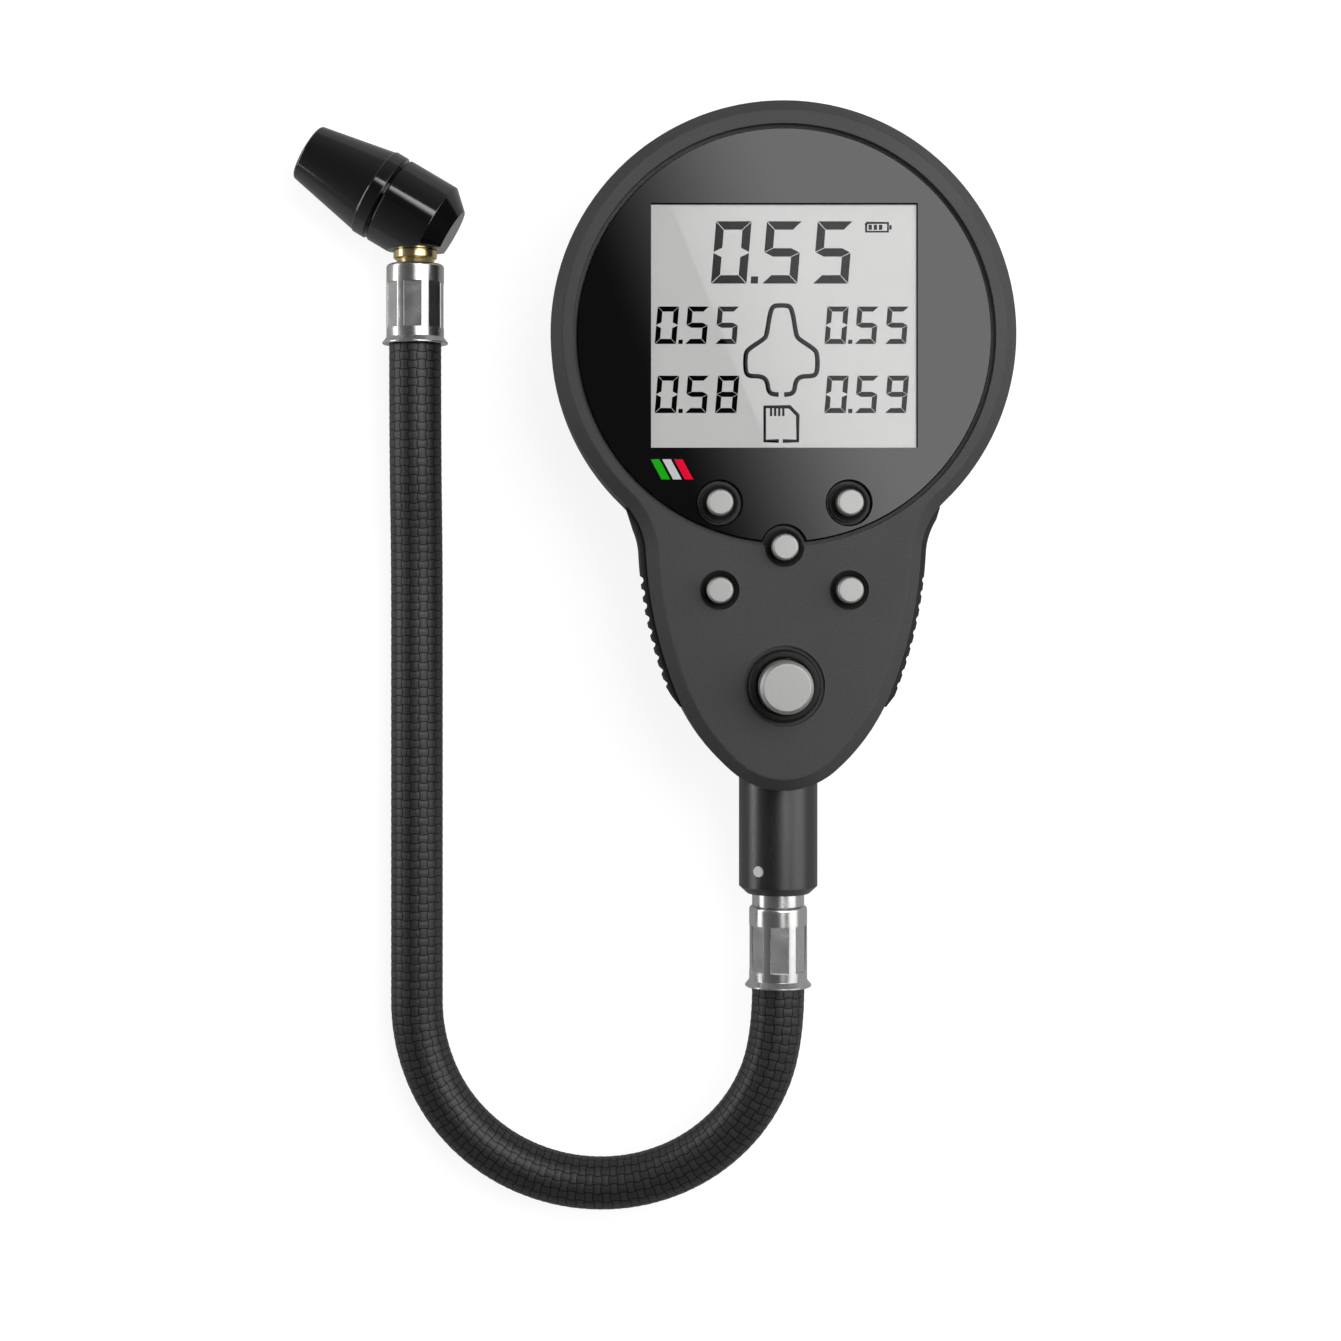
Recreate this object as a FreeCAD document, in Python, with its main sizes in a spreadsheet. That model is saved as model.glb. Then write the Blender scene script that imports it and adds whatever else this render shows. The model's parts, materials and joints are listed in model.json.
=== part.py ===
import FreeCAD, Part
import math
import os
import re

import Sketcher

# Hand-held digital tyre pressure gauge, lying on its back.
# Frame: +Z out of the face, +Y to the top of the round head, origin in the middle
# of the head on the flat back. Millimetres and degrees.

doc = FreeCAD.newDocument("tyre_pressure_gauge")
sizes = doc.addObject("Spreadsheet::Sheet", "sizes")

DRIVING_SIZES = {
    # case outline at the parting plane
    "head_radius": 43.1, "shoulder_radius": 13.5, "flank_radius": 80.9, "waist": 25.7,
    "flank_rise": 33.2, "chin_radius": 37.8, "nose_radius": 14.8, "handle_reach": 84.3,
    # case shells
    "case_depth": 31, "parting_height": 14, "front_draft": 1.5, "rear_draft": 8,
    "case_wall": 2, "shelf_wall": 1.5, "back_wall": 3.2, "face_edge_radius": 0.5,
    "back_edge_radius": 2, "bevel_height": 2.8, "bevel_angle": 38,
    "gasket_inset": 1.6, "gasket_width": 1.2, "gasket_thickness": 0.8,
    # lens and display
    "lens_margin": 5.2, "lens_drop": -0.6, "lens_groove": 0.7, "lens_recess": 2,
    "lens_thickness": 1.5, "lens_bond": 0.3, "window_width": 48.6, "window_height": 44.6,
    "window_level": 1.15, "panel_width": 51.4, "panel_height": 47.4, "panel_thickness": 2.6,
    "panel_gap": 0.6, "frame_wall": 1.2, "frame_ledge": 1.5, "strip_width": 1.3,
    # circuit board
    "board_thickness": 1.6, "board_gap": 2.2, "board_clearance": 0.6, "board_beyond_bleed": 10.6,
    "chip_height": 1.4, "chip_width": 12, "memory_width": 6,
    # small buttons
    "button_spread": 11.8, "upper_from_rim": 11.9, "middle_from_rim": 3.8, "lower_beyond_bleed": 17.5,
    "button_radius": 2.4, "button_rise": 3.2, "button_edge": 0.3, "button_travel": 0.5,
    "button_stem": 1.9, "button_flange": 3.1, "flange_thickness": 1.2, "well_radius": 3.6,
    "lens_well_radius": 4, "seal_clearance": 0.3, "seal_dish": 1, "seal_room": 0.2,
    "switch_width": 6, "switch_height": 3.3, "plunger_radius": 1.75, "plunger_rise": 1.4,
    # bleed valve
    "bleed_from_nose": 19.7, "bleed_radius": 4.85, "bleed_rise": 7.5, "bleed_edge": 0.6,
    "bleed_travel": 2.5, "bleed_skirt": 6, "bleed_cup_radius": 4, "bleed_flange": 6,
    "collar_radius": 6.65, "collar_bore": 5.15, "collar_rise": 0.8, "lip_radius": 7.4,
    "bleed_stem_radius": 1.5, "poppet_radius": 2.6, "bush_radius": 3.6, "bush_length": 5.2,
    "spring_radius": 2.7, "spring_wire": 0.35, "spring_turns": 7,
    # manifold and tube
    "tube_axis": 12.5, "tube_radius": 7.45, "tube_show": 20.3, "tube_seat": 10.8,
    "tube_chamfer": 1.5, "tube_chamfer_length": 1.4, "spigot_radius": 4.5, "spigot_length": 5,
    "manifold_width": 18, "manifold_height": 14, "manifold_beyond_bleed": 8.6, "gallery_radius": 1.5,
    "pin_radius": 1.035, "pin_offset": 4.05, "pin_from_end": 4.7, "pin_clearance": 0.3,
    "sensor_radius": 4, "sensor_length": 6, "sensor_pin_radius": 0.3,
    # swivel stem, hose and ferrules
    "stem_radius": 4.95, "stem_clearance": 0.05, "stem_depth": 17.5, "stem_show": 2.4,
    "bore_radius": 1.25, "barb_radius": 3.3, "barb_root": 2.9, "ring_wire": 0.5,
    "ferrule_radius": 5.5, "ferrule_length": 15.3, "ferrule_flange": 6.3,
    "ferrule_flange_length": 0.3, "ferrule_wall": 0.8, "ferrule_shoulder": 0.7,
    "ferrule_flare": 1,
    "crimp_depth": 0.45, "crimp_length": 8.7, "crimp_width": 3.4, "crimp_start": 3.6, "crimp_count": 7,
    "hose_radius": 5,
    # nipple and chuck
    "leg_offset": 69.3, "chuck_level": 8.7, "leg_end": 15.2, "nipple_radius": 4.15,
    "nipple_ring": 1.7, "nipple_collar_radius": 3.75, "nipple_collar": 1,
    "nipple_thread": 3.6, "nipple_depth": 4.4,
    "chuck_tilt": 30.7, "chuck_lift": 6.7, "chuck_reach": 23.86, "mouth_radius": 5.65,
    "valve_bore": 4, "valve_depth": 9.5, "cone_length": 14.8, "cone_radius": 8.45,
    "chuck_ring_radius": 8.65, "chuck_ring_length": 2.6, "chuck_groove": 0.6,
    "chuck_body_radius": 8.6, "chuck_body_length": 14.3, "chuck_bevel_length": 3.5,
    "chuck_end_radius": 5.4, "chuck_spigot": 6.45, "chuck_spigot_length": 4,
    "chamber_radius": 5.2, "chuck_seal_thickness": 3, "chuck_seal_bore": 2.6,
    "depressor_radius": 1, "depressor_disc": 2, "fit_clearance": 0.05,
    # battery compartment
    "battery_radius": 5.25, "battery_length": 44.5, "battery_level": 3, "battery_gap": 0.35,
    "contact_space": 2.25, "contact_thickness": 0.4, "tub_wall": 1.4,
    "dish_foot": 3.6, "dish_tip": 1.6, "dish_leaf": 0.35,
    "cover_side": 7, "cover_edge": 1.975, "cover_thickness": 1.6, "cover_corner": 4,
    "cover_gap": 0.15, "cover_seal": 0.2, "cover_screw_margin": 3.1,
    # fasteners
    "screw_radius": 1.25, "screw_head": 2.5, "screw_head_height": 1.8, "screw_sink": 0.3,
    "boss_radius": 3, "screw_bite": 6, "cover_screw_radius": 0.9, "cover_screw_head": 1.7,
    "screw_inset": 9.1, "top_screw_spread": 11.5, "side_screw_inset": 7, "side_screw_drop": 28.6,
    "low_screw_spread": 13.8, "low_screw_beyond_bleed": 4.6,
    # rubber grips
    "grip_proud": 1, "grip_top": -31.8, "grip_bottom": -68.6, "grip_low": 5, "grip_high": 27,
    "top_slope": 6.2, "top_spread": 3.2, "slope_spread": 1.3, "bottom_slope": 3,
    "grip_pitch": 2.43, "grip_count": 9, "grip_first": -45.3, "grip_notch": 0.6,
}

for row, (alias, amount) in enumerate(DRIVING_SIZES.items(), start=1):
    sizes.set(f"A{row}", alias)
    sizes.set(f"B{row}", str(amount))
    sizes.setAlias(f"B{row}", alias)
doc.recompute()

# Shared heights and places, written as formulas of the sheet's sizes.
FORMULAS = {
    "nose_level": "nose_radius - handle_reach",
    "flank_offset": "flank_radius - waist",
    "flank_level": "nose_level + flank_rise",
    "lens_radius": "head_radius - lens_margin",
    "bleed_level": "bleed_from_nose - handle_reach",
    "upper_level": "upper_from_rim - head_radius",
    "middle_level": "middle_from_rim - head_radius",
    "lower_level": "bleed_level + lower_beyond_bleed",
    "board_end": "bleed_level + board_beyond_bleed",
    "tube_end": "handle_reach + tube_show",
    "tube_inner": "handle_reach - tube_seat",
    "manifold_top": "bleed_level + manifold_beyond_bleed",
    "top_screw_level": "sqrt((head_radius - screw_inset)^2 - top_screw_spread^2)",
    "side_screw_level": "-side_screw_drop",
    "side_screw_spread": "sqrt((head_radius - side_screw_inset)^2 - side_screw_drop^2)",
    "low_screw_level": "bleed_level + low_screw_beyond_bleed",
    "cover_width": "tub_width + 2 * cover_side",
    "cover_height": "tub_height + 2 * cover_edge",
    "cover_screw_offset": "cover_width / 2 - cover_screw_margin",
    "bevel_level": "case_depth - bevel_height",
    "wall_inset": "(bevel_level - parting_height) * tan(front_draft * 1deg)",
    "back_inset": "parting_height * tan(rear_draft * 1deg)",
    "cavity_top": "case_depth - lens_recess - shelf_wall",
    "recess_floor": "case_depth - lens_recess",
    "tub_width": "battery_length + 2 * contact_space",
    "tub_height": "4 * battery_radius + 3 * battery_gap",
    "battery_axis": "cover_thickness + cover_seal + battery_gap + battery_radius",
    "tub_top": "battery_axis + battery_radius + battery_gap",
    "tub_roof": "tub_top + tub_wall",
    "board_bottom": "tub_roof + board_gap",
    "board_top": "board_bottom + board_thickness",
    "panel_top": "cavity_top - panel_gap",
    "panel_bottom": "panel_top - panel_thickness",
    "plunger_top": "board_top + switch_height + plunger_rise",
    "manifold_base": "tube_axis - manifold_height / 2",
    "manifold_roof": "tube_axis + manifold_height / 2",
    "bush_bottom": "manifold_roof - bush_length",
    "cap_base": "case_depth - bleed_skirt",
    "button_base": "plunger_top + button_travel + 0.2",
    "poppet_base": "bush_bottom - 3.6",
    "pin_root": "tube_axis + 1.8",
    "chuck_flat": "leg_end + nipple_ring + nipple_collar",
    "chuck_cross": "chuck_flat + chuck_lift",
    "ferrule_bore": "ferrule_radius - ferrule_wall",
}


def spell(formula):
    """A formula with every shared name written out and every size read from the sheet."""
    text = str(formula)
    while any(re.search(rf"\b{name}\b", text) for name in FORMULAS):
        for name, meaning in FORMULAS.items():
            text = re.sub(rf"\b{name}\b", f"({meaning})", text)
    return re.sub(r"\b[a-z_]+\b", lambda word: word_in_sheet(word.group()), text)


def word_in_sheet(word):
    return f"sizes.{word}" if word in DRIVING_SIZES else word


def value(formula):
    """The number that a formula gives now."""
    result = doc.getObject("sizes").evalExpression(spell(formula))
    return float(getattr(result, "Value", result))


def bind(thing, setting, formula):
    thing.setExpression(setting, spell(formula))


def combine(first, sign, second):
    return f"({first}) {sign} ({second})"


# ---------------------------------------------------------------- sketches

ORIGIN = (-1, 1)


def new_body(label):
    body = doc.addObject("PartDesign::Body", label)
    body.Label = label
    return body


def new_sketch(body, plane="XY_Plane", height="0"):
    """A sketch on one of the body's own origin planes, raised along the plane's normal."""
    sketch = body.newObject("Sketcher::SketchObject", f"{body.Name}_sketch")
    support = [face for face in body.Origin.OriginFeatures if face.Role == plane][0]
    sketch.AttachmentSupport = [(support, "")]
    sketch.MapMode = "FlatFace"
    bind(sketch, "AttachmentOffset.Base.z", height)
    return sketch


def hold(sketch, kind, formula, *elements):
    """Adds one dimension and ties it to the sheet."""
    index = sketch.addConstraint(Sketcher.Constraint(kind, *elements, value(formula)))
    name = f"size_{index}"
    sketch.renameConstraint(index, name)
    bind(sketch, f"Constraints.{name}", formula)


def hold_point(sketch, geometry, point, across, along):
    hold(sketch, "DistanceX", across, *ORIGIN, geometry, point)
    hold(sketch, "DistanceY", along, *ORIGIN, geometry, point)


def draw_circle(sketch, radius, across="0", along="0"):
    centre = FreeCAD.Vector(value(across), value(along), 0)
    circle = Part.Circle(centre, FreeCAD.Vector(0, 0, 1), value(radius))
    index = sketch.addGeometry(circle)
    hold_point(sketch, index, 3, across, along)
    hold(sketch, "Radius", radius, index)


def draw_polygon(sketch, corners):
    corner_points = [FreeCAD.Vector(value(x), value(y), 0) for x, y in corners]
    following = corner_points[1:] + corner_points[:1]
    lines = [sketch.addGeometry(Part.LineSegment(*ends)) for ends in zip(corner_points, following)]
    for line, after in zip(lines, lines[1:] + lines[:1]):
        sketch.addConstraint(Sketcher.Constraint("Coincident", line, 2, after, 1))
    for line, (across, along) in zip(lines, corners):
        hold_point(sketch, line, 1, across, along)


def draw_box(sketch, width, depth, across="0", along="0"):
    left = combine(across, "-", f"({width}) / 2")
    right = combine(across, "+", f"({width}) / 2")
    low = combine(along, "-", f"({depth}) / 2")
    high = combine(along, "+", f"({depth}) / 2")
    draw_polygon(sketch, [(left, low), (right, low), (right, high), (left, high)])


def crossing(first, first_reach, second, second_reach, side):
    """The point at two given distances from two centres, on the chosen side of their line."""
    between = second - first
    gap = between.Length
    run = (first_reach ** 2 - second_reach ** 2 + gap ** 2) / (2 * gap)
    rise = math.sqrt(first_reach ** 2 - run ** 2)
    along = between / gap
    across = FreeCAD.Vector(-along.y, along.x, 0)
    return first + along * run + across * side * rise


def draw_outline(sketch, inset="0"):
    """The case outline: round head, hollow shoulders, bowed flanks, chins and nose.

    Every arc is tangent to the next, and an inset shifts them all towards the inside.
    """
    radius_of = {
        "head": combine("head_radius", "-", inset),
        "shoulder": combine("shoulder_radius", "+", inset),
        "flank": combine("flank_radius", "-", inset),
        "chin": combine("chin_radius", "-", inset),
        "nose": combine("nose_radius", "-", inset),
    }
    head = FreeCAD.Vector(0, 0, 0)
    nose = FreeCAD.Vector(0, value("nose_level"), 0)
    radius = {part: value(formula) for part, formula in radius_of.items()}
    arcs = []

    def add_arc(part, centre, start, end):
        first = math.atan2(start.y - centre.y, start.x - centre.x)
        last = math.atan2(end.y - centre.y, end.x - centre.x)
        if last < first:
            last += 2 * math.pi
        circle = Part.Circle(centre, FreeCAD.Vector(0, 0, 1), radius[part])
        index = sketch.addGeometry(Part.ArcOfCircle(circle, first, last))
        hold(sketch, "Radius", radius_of[part], index)
        arcs.append(index)
        return index

    def side_joins(side):
        """Centres and meeting points of the arcs on one side, +1 right or -1 left."""
        flank = FreeCAD.Vector(-side * value("flank_offset"), value("flank_level"), 0)
        shoulder = crossing(head, value("head_radius + shoulder_radius"),
                            flank, value("flank_radius + shoulder_radius"), side)
        chin = crossing(flank, value("flank_radius - chin_radius"),
                        nose, value("chin_radius - nose_radius"), side)
        return {
            "flank": flank, "shoulder": shoulder, "chin": chin,
            "neck": head + (shoulder - head).normalize() * radius["head"],
            "hip": flank + (shoulder - flank).normalize() * radius["flank"],
            "jaw": flank + (chin - flank).normalize() * radius["flank"],
            "tip": chin + (nose - chin).normalize() * radius["chin"],
        }

    right = side_joins(1)
    left = side_joins(-1)
    head_arc = add_arc("head", head, right["neck"], left["neck"])
    left_shoulder = add_arc("shoulder", left["shoulder"], left["hip"], left["neck"])
    left_flank = add_arc("flank", left["flank"], left["hip"], left["jaw"])
    add_arc("chin", left["chin"], left["jaw"], left["tip"])
    nose_arc = add_arc("nose", nose, left["tip"], right["tip"])
    add_arc("chin", right["chin"], right["tip"], right["jaw"])
    right_flank = add_arc("flank", right["flank"], right["jaw"], right["hip"])
    right_shoulder = add_arc("shoulder", right["shoulder"], right["neck"], right["hip"])

    hollow_arcs = (left_shoulder, right_shoulder)
    for arc, after in zip(arcs, arcs[1:] + arcs[:1]):
        leaving = 1 if arc in hollow_arcs else 2
        entering = 2 if after in hollow_arcs else 1
        sketch.addConstraint(Sketcher.Constraint("Tangent", arc, leaving, after, entering))
    sketch.addConstraint(Sketcher.Constraint("Coincident", head_arc, 3, *ORIGIN))
    sketch.addConstraint(Sketcher.Constraint("PointOnObject", nose_arc, 3, -2))
    hold(sketch, "DistanceY", "nose_level", *ORIGIN, nose_arc, 3)
    hold_point(sketch, left_flank, 3, "flank_offset", "flank_level")
    hold_point(sketch, right_flank, 3, "-flank_offset", "flank_level")


# ---------------------------------------------------------------- features

def pad(body, sketch, length, taper=None, downwards=False):
    feature = body.newObject("PartDesign::Pad", f"{body.Name}_pad")
    feature.Profile = sketch
    feature.Reversed = downwards
    bind(feature, "Length", length)
    if taper:
        bind(feature, "TaperAngle", taper)
    return feature


def pocket(body, sketch, length, upwards=False, both_ways=False):
    feature = body.newObject("PartDesign::Pocket", f"{body.Name}_pocket")
    feature.Profile = sketch
    feature.Reversed = upwards
    feature.Midplane = both_ways
    bind(feature, "Length", length)
    return feature


def edges_at_height(feature, height, smallest=0):
    """Names of the feature's edges at one height that are at least so long."""
    found = []
    for number, edge in enumerate(feature.Shape.Edges, start=1):
        box = edge.BoundBox
        level = abs(box.ZMin - height) < 1e-5 and abs(box.ZMax - height) < 1e-5
        if level and edge.Length > smallest:
            found.append(f"Edge{number}")
    return found


def fillet(body, base, edges, radius):
    feature = body.newObject("PartDesign::Fillet", f"{body.Name}_fillet")
    feature.Base = (base, edges)
    bind(feature, "Radius", radius)
    return feature


def chamfer(body, base, edges, size):
    feature = body.newObject("PartDesign::Chamfer", f"{body.Name}_chamfer")
    feature.Base = (base, edges)
    bind(feature, "Size", size)
    return feature


TURN = {
    "up": FreeCAD.Rotation(),
    "down": FreeCAD.Rotation(FreeCAD.Vector(1, 0, 0), 180),
    "towards_hose": FreeCAD.Rotation(FreeCAD.Vector(1, 0, 0), 90),
    "towards_head": FreeCAD.Rotation(FreeCAD.Vector(1, 0, 0), -90),
    "right": FreeCAD.Rotation(FreeCAD.Vector(0, 1, 0), 90),
    "left": FreeCAD.Rotation(FreeCAD.Vector(0, 1, 0), -90),
}


def place(thing, across="0", along="0", height="0", turn="up"):
    thing.Placement = FreeCAD.Placement(FreeCAD.Vector(0, 0, 0), TURN[turn])
    bind(thing, "Placement.Base.x", across)
    bind(thing, "Placement.Base.y", along)
    bind(thing, "Placement.Base.z", height)
    return thing


def turned(label, profile, **where):
    """A body of revolution about its own Z axis, from (radius, height) corners."""
    body = new_body(label)
    sketch = new_sketch(body, "XZ_Plane")
    draw_polygon(sketch, profile)
    spin = body.newObject("PartDesign::Revolution", f"{label}_turning")
    spin.Profile = sketch
    spin.ReferenceAxis = (sketch, ["V_Axis"])
    spin.Angle = 360
    return place(body, **where)


def ring(label, inner, outer, thickness, **where):
    return turned(label, [(inner, "0"), (outer, "0"), (outer, thickness), (inner, thickness)],
                  **where)


def plate(label, width, depth, thickness, **where):
    body = new_body(label)
    sketch = new_sketch(body)
    draw_box(sketch, width, depth)
    pad(body, sketch, thickness)
    return place(body, **where)


def o_ring(label, middle_radius, wire, **where):
    torus = doc.addObject("Part::Torus", label)
    torus.Label = label
    bind(torus, "Radius1", middle_radius)
    bind(torus, "Radius2", wire)
    return place(torus, **where)


def grouped(label, members):
    """Several separate solids of one kind under one name."""
    group = doc.addObject("Part::Compound", label)
    group.Label = label
    group.Links = members
    return group


def cut_away(label, base, tool):
    """The base with the tool's shape removed."""
    result = doc.addObject("Part::Cut", label)
    result.Label = label
    result.Base = base
    result.Tool = tool
    return result


SUB_PARTS = []


def keep(thing):
    SUB_PARTS.append(thing)
    return thing


# ---------------------------------------------------------------- shared places

BUTTONS = {
    "upper_left_button": ("-button_spread", "upper_level"),
    "upper_right_button": ("button_spread", "upper_level"),
    "middle_button": ("0", "middle_level"),
    "lower_left_button": ("-button_spread", "lower_level"),
    "lower_right_button": ("button_spread", "lower_level"),
}
LENS_BUTTONS = ("upper_left_button", "upper_right_button", "middle_button")
BOARD_SCREWS = [
    ("-top_screw_spread", "top_screw_level"), ("top_screw_spread", "top_screw_level"),
    ("-side_screw_spread", "side_screw_level"), ("side_screw_spread", "side_screw_level"),
]
LOW_SCREWS = [("-low_screw_spread", "low_screw_level"), ("low_screw_spread", "low_screw_level")]
COVER_SCREWS = [("-cover_screw_offset", "battery_level"), ("cover_screw_offset", "battery_level")]
TUBE_CLEARED = "tube_radius + fit_clearance"


def tube_notch(body):
    """The half-round seat for the tube through the nose of a shell."""
    sketch = new_sketch(body, "XZ_Plane", "tube_inner - 1")
    draw_circle(sketch, TUBE_CLEARED, "0", "tube_axis")
    return pocket(body, sketch, "tube_end - tube_inner", upwards=True)


# ---------------------------------------------------------------- case

def make_front_case():
    body = new_body("front_case")
    rim = new_sketch(body, height="parting_height")
    draw_outline(rim)
    pad(body, rim, "bevel_level - parting_height", taper="-front_draft")
    shoulder = new_sketch(body, height="bevel_level")
    draw_outline(shoulder, "wall_inset")
    shell = pad(body, shoulder, "bevel_height", taper="-bevel_angle")
    doc.recompute()
    face_edge = edges_at_height(shell, value("case_depth"))
    bevel_edge = edges_at_height(shell, value("bevel_level"))
    fillet(body, shell, face_edge + bevel_edge, "face_edge_radius")

    hollow = new_sketch(body, height="parting_height")
    draw_outline(hollow, "case_wall + wall_inset")
    pocket(body, hollow, "cavity_top - parting_height", upwards=True)

    recess = new_sketch(body, height="recess_floor")
    draw_circle(recess, "lens_radius + lens_groove", "0", "lens_drop")
    pocket(body, recess, "lens_recess", upwards=True)

    window = new_sketch(body, height="cavity_top")
    draw_box(window, "window_width", "window_height", "0", "window_level")
    for across, along in BUTTONS.values():
        draw_circle(window, "well_radius", across, along)
    draw_circle(window, "collar_radius + fit_clearance", "0", "bleed_level")
    pocket(body, window, "case_depth - cavity_top", upwards=True)

    lip = new_sketch(body, height="case_depth - collar_rise")
    draw_circle(lip, "lip_radius", "0", "bleed_level")
    pocket(body, lip, "collar_rise", upwards=True)

    posts = new_sketch(body, height="cavity_top")
    for across, along in BOARD_SCREWS:
        draw_circle(posts, "boss_radius", across, along)
    pad(body, posts, "cavity_top - board_top", downwards=True)
    low_posts = new_sketch(body, height="cavity_top")
    for across, along in LOW_SCREWS:
        draw_circle(low_posts, "boss_radius", across, along)
    pad(body, low_posts, "cavity_top - board_bottom - fit_clearance", downwards=True)
    threads = new_sketch(body, height="board_bottom")
    for across, along in BOARD_SCREWS + LOW_SCREWS:
        draw_circle(threads, "screw_radius", across, along)
    pocket(body, threads, "board_thickness + screw_bite", upwards=True)
    tube_notch(body)
    return place(body)


def make_rear_case():
    body = new_body("rear_case")
    rim = new_sketch(body, height="parting_height")
    draw_outline(rim)
    shell = pad(body, rim, "parting_height", taper="-rear_draft", downwards=True)
    doc.recompute()
    fillet(body, shell, edges_at_height(shell, 0), "back_edge_radius")

    hollow = new_sketch(body, height="back_wall")
    draw_outline(hollow, "case_wall + back_inset")
    pocket(body, hollow, "parting_height - back_wall", upwards=True)

    seal_seat = new_sketch(body, height="parting_height - gasket_thickness")
    draw_outline(seal_seat, "gasket_inset - fit_clearance")
    draw_outline(seal_seat, "gasket_inset + gasket_width + fit_clearance")
    pocket(body, seal_seat, "gasket_thickness", upwards=True)

    tub = new_sketch(body, height="back_wall")
    draw_box(tub, "tub_width + 2 * tub_wall", "tub_height + 2 * tub_wall", "0", "battery_level")
    pad(body, tub, "tub_roof - back_wall")
    posts = new_sketch(body, height="back_wall")
    for across, along in BOARD_SCREWS + LOW_SCREWS:
        draw_circle(posts, "boss_radius", across, along)
    for across, along in COVER_SCREWS:
        draw_circle(posts, "cover_screw_radius + 1.5", across, along)
    pad(body, posts, "board_bottom - back_wall")

    doc.recompute()
    opening = new_sketch(body, height="0")
    draw_box(opening, "tub_width", "tub_height", "0", "battery_level")
    pocket(body, opening, "tub_top", upwards=True)
    cover_seat = new_sketch(body, height="0")
    draw_rounded_box(cover_seat, "cover_width", "cover_height", "cover_corner", "battery_level")
    pocket(body, cover_seat, "cover_thickness + cover_seal", upwards=True)

    holes = new_sketch(body, height="0")
    for across, along in BOARD_SCREWS + LOW_SCREWS:
        draw_circle(holes, "screw_radius + fit_clearance", across, along)
    pocket(body, holes, "board_bottom", upwards=True)
    sinks = new_sketch(body, height="0")
    for across, along in BOARD_SCREWS + LOW_SCREWS:
        draw_circle(sinks, "screw_head + fit_clearance", across, along)
    pocket(body, sinks, "screw_sink + screw_head_height", upwards=True)
    cover_holes = new_sketch(body, height="0")
    for across, along in COVER_SCREWS:
        draw_circle(cover_holes, "cover_screw_radius", across, along)
    pocket(body, cover_holes, "board_bottom - back_wall", upwards=True)

    manifold_posts = new_sketch(body, height="back_wall")
    for across, along in MANIFOLD_SCREWS:
        draw_circle(manifold_posts, "boss_radius", across, along)
    pad(body, manifold_posts, "manifold_base - back_wall")
    manifold_threads = new_sketch(body, height="manifold_base")
    for across, along in MANIFOLD_SCREWS:
        draw_circle(manifold_threads, "cover_screw_radius", across, along)
    pocket(body, manifold_threads, "manifold_base - back_wall")
    tube_notch(body)
    return place(body)


MANIFOLD_SCREWS = [
    ("manifold_width / 2 - 2.2", "manifold_top - 3"),
    ("2.2 - manifold_width / 2", "manifold_top - 3"),
]


def make_case_gasket():
    loop = new_body("case_gasket_loop")
    sketch = new_sketch(loop, height="parting_height - gasket_thickness")
    draw_outline(sketch, "gasket_inset")
    draw_outline(sketch, "gasket_inset + gasket_width")
    pad(loop, sketch, "gasket_thickness")
    tube = doc.addObject("Part::Cylinder", "case_gasket_gap")
    bind(tube, "Radius", "tube_radius + seal_clearance")
    bind(tube, "Height", "tube_end - tube_inner")
    place(tube, "0", "-tube_inner", "tube_axis", "towards_hose")
    return cut_away("case_gasket", loop, tube)


def make_grip(label, side):
    """A ribbed rubber strip that wraps one flank across both shells."""
    def flank_block(name, inset):
        body = new_body(f"{label}_{name}")
        sketch = new_sketch(body, height="parting_height")
        draw_outline(sketch, inset)
        pad(body, sketch, "grip_high - parting_height", taper="-front_draft")
        lower = new_sketch(body, height="parting_height")
        draw_outline(lower, inset)
        pad(body, lower, "parting_height - grip_low", taper="-rear_draft", downwards=True)
        return body

    skin = cut_away(f"{label}_skin", flank_block("outer", "-grip_proud"),
                    flank_block("inner", "-fit_clearance"))
    zone = new_body(f"{label}_zone")
    plan = new_sketch(zone)
    draw_grip_plan(plan, side)
    pad(zone, plan, "case_depth")
    strip = doc.addObject("Part::Common", f"{label}_strip")
    strip.Base = skin
    strip.Tool = zone
    notches = [make_notch(f"{label}_notch_{turn}", side, turn)
               for turn in range(int(value("grip_count")))]
    return cut_away(label, strip, grouped(f"{label}_notches", notches))


def flank_reach(level, proud="0"):
    """How far the flank stands from the middle at a level, as a formula."""
    drop = f"({level} - flank_level)"
    return f"sqrt((flank_radius + {proud})^2 - {drop}^2) - flank_offset"


def draw_grip_plan(sketch, side):
    """The plan of one grip, with slanted ends that run out on the case."""
    slope_end = "grip_top - top_slope"
    slope_start = "grip_bottom + bottom_slope"
    corners = [
        ("0", "grip_top"), ("waist + top_spread", "grip_top"),
        ("waist + slope_spread", slope_end), ("head_radius", slope_end),
        ("head_radius", slope_start), (flank_reach(slope_start, "grip_proud"), slope_start),
        (flank_reach("grip_bottom"), "grip_bottom"), ("0", "grip_bottom"),
    ]
    draw_polygon(sketch, [(f"{side} * ({across})", along) for across, along in corners])


def make_notch(label, side, turn):
    """One rounded groove across the strip, square to the flank where it crosses it."""
    level = value(f"grip_first - {turn} * grip_pitch")
    flank_x = math.sqrt(value("flank_radius + grip_proud") ** 2
                        - (level - value("flank_level")) ** 2) - value("flank_offset")
    depth = value("grip_notch")
    half_width = value("grip_pitch") * 0.3
    radius = (depth ** 2 + half_width ** 2) / (2 * depth)
    notch = doc.addObject("Part::Feature", label)
    centre = FreeCAD.Vector(side * (flank_x + radius - depth), level, 0)
    tool = Part.makeCylinder(radius, value("case_depth"), FreeCAD.Vector(0, 0, 0))
    notch.Shape = tool
    notch.Placement = FreeCAD.Placement(centre, FreeCAD.Rotation())
    return notch


# ---------------------------------------------------------------- lens and display

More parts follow.
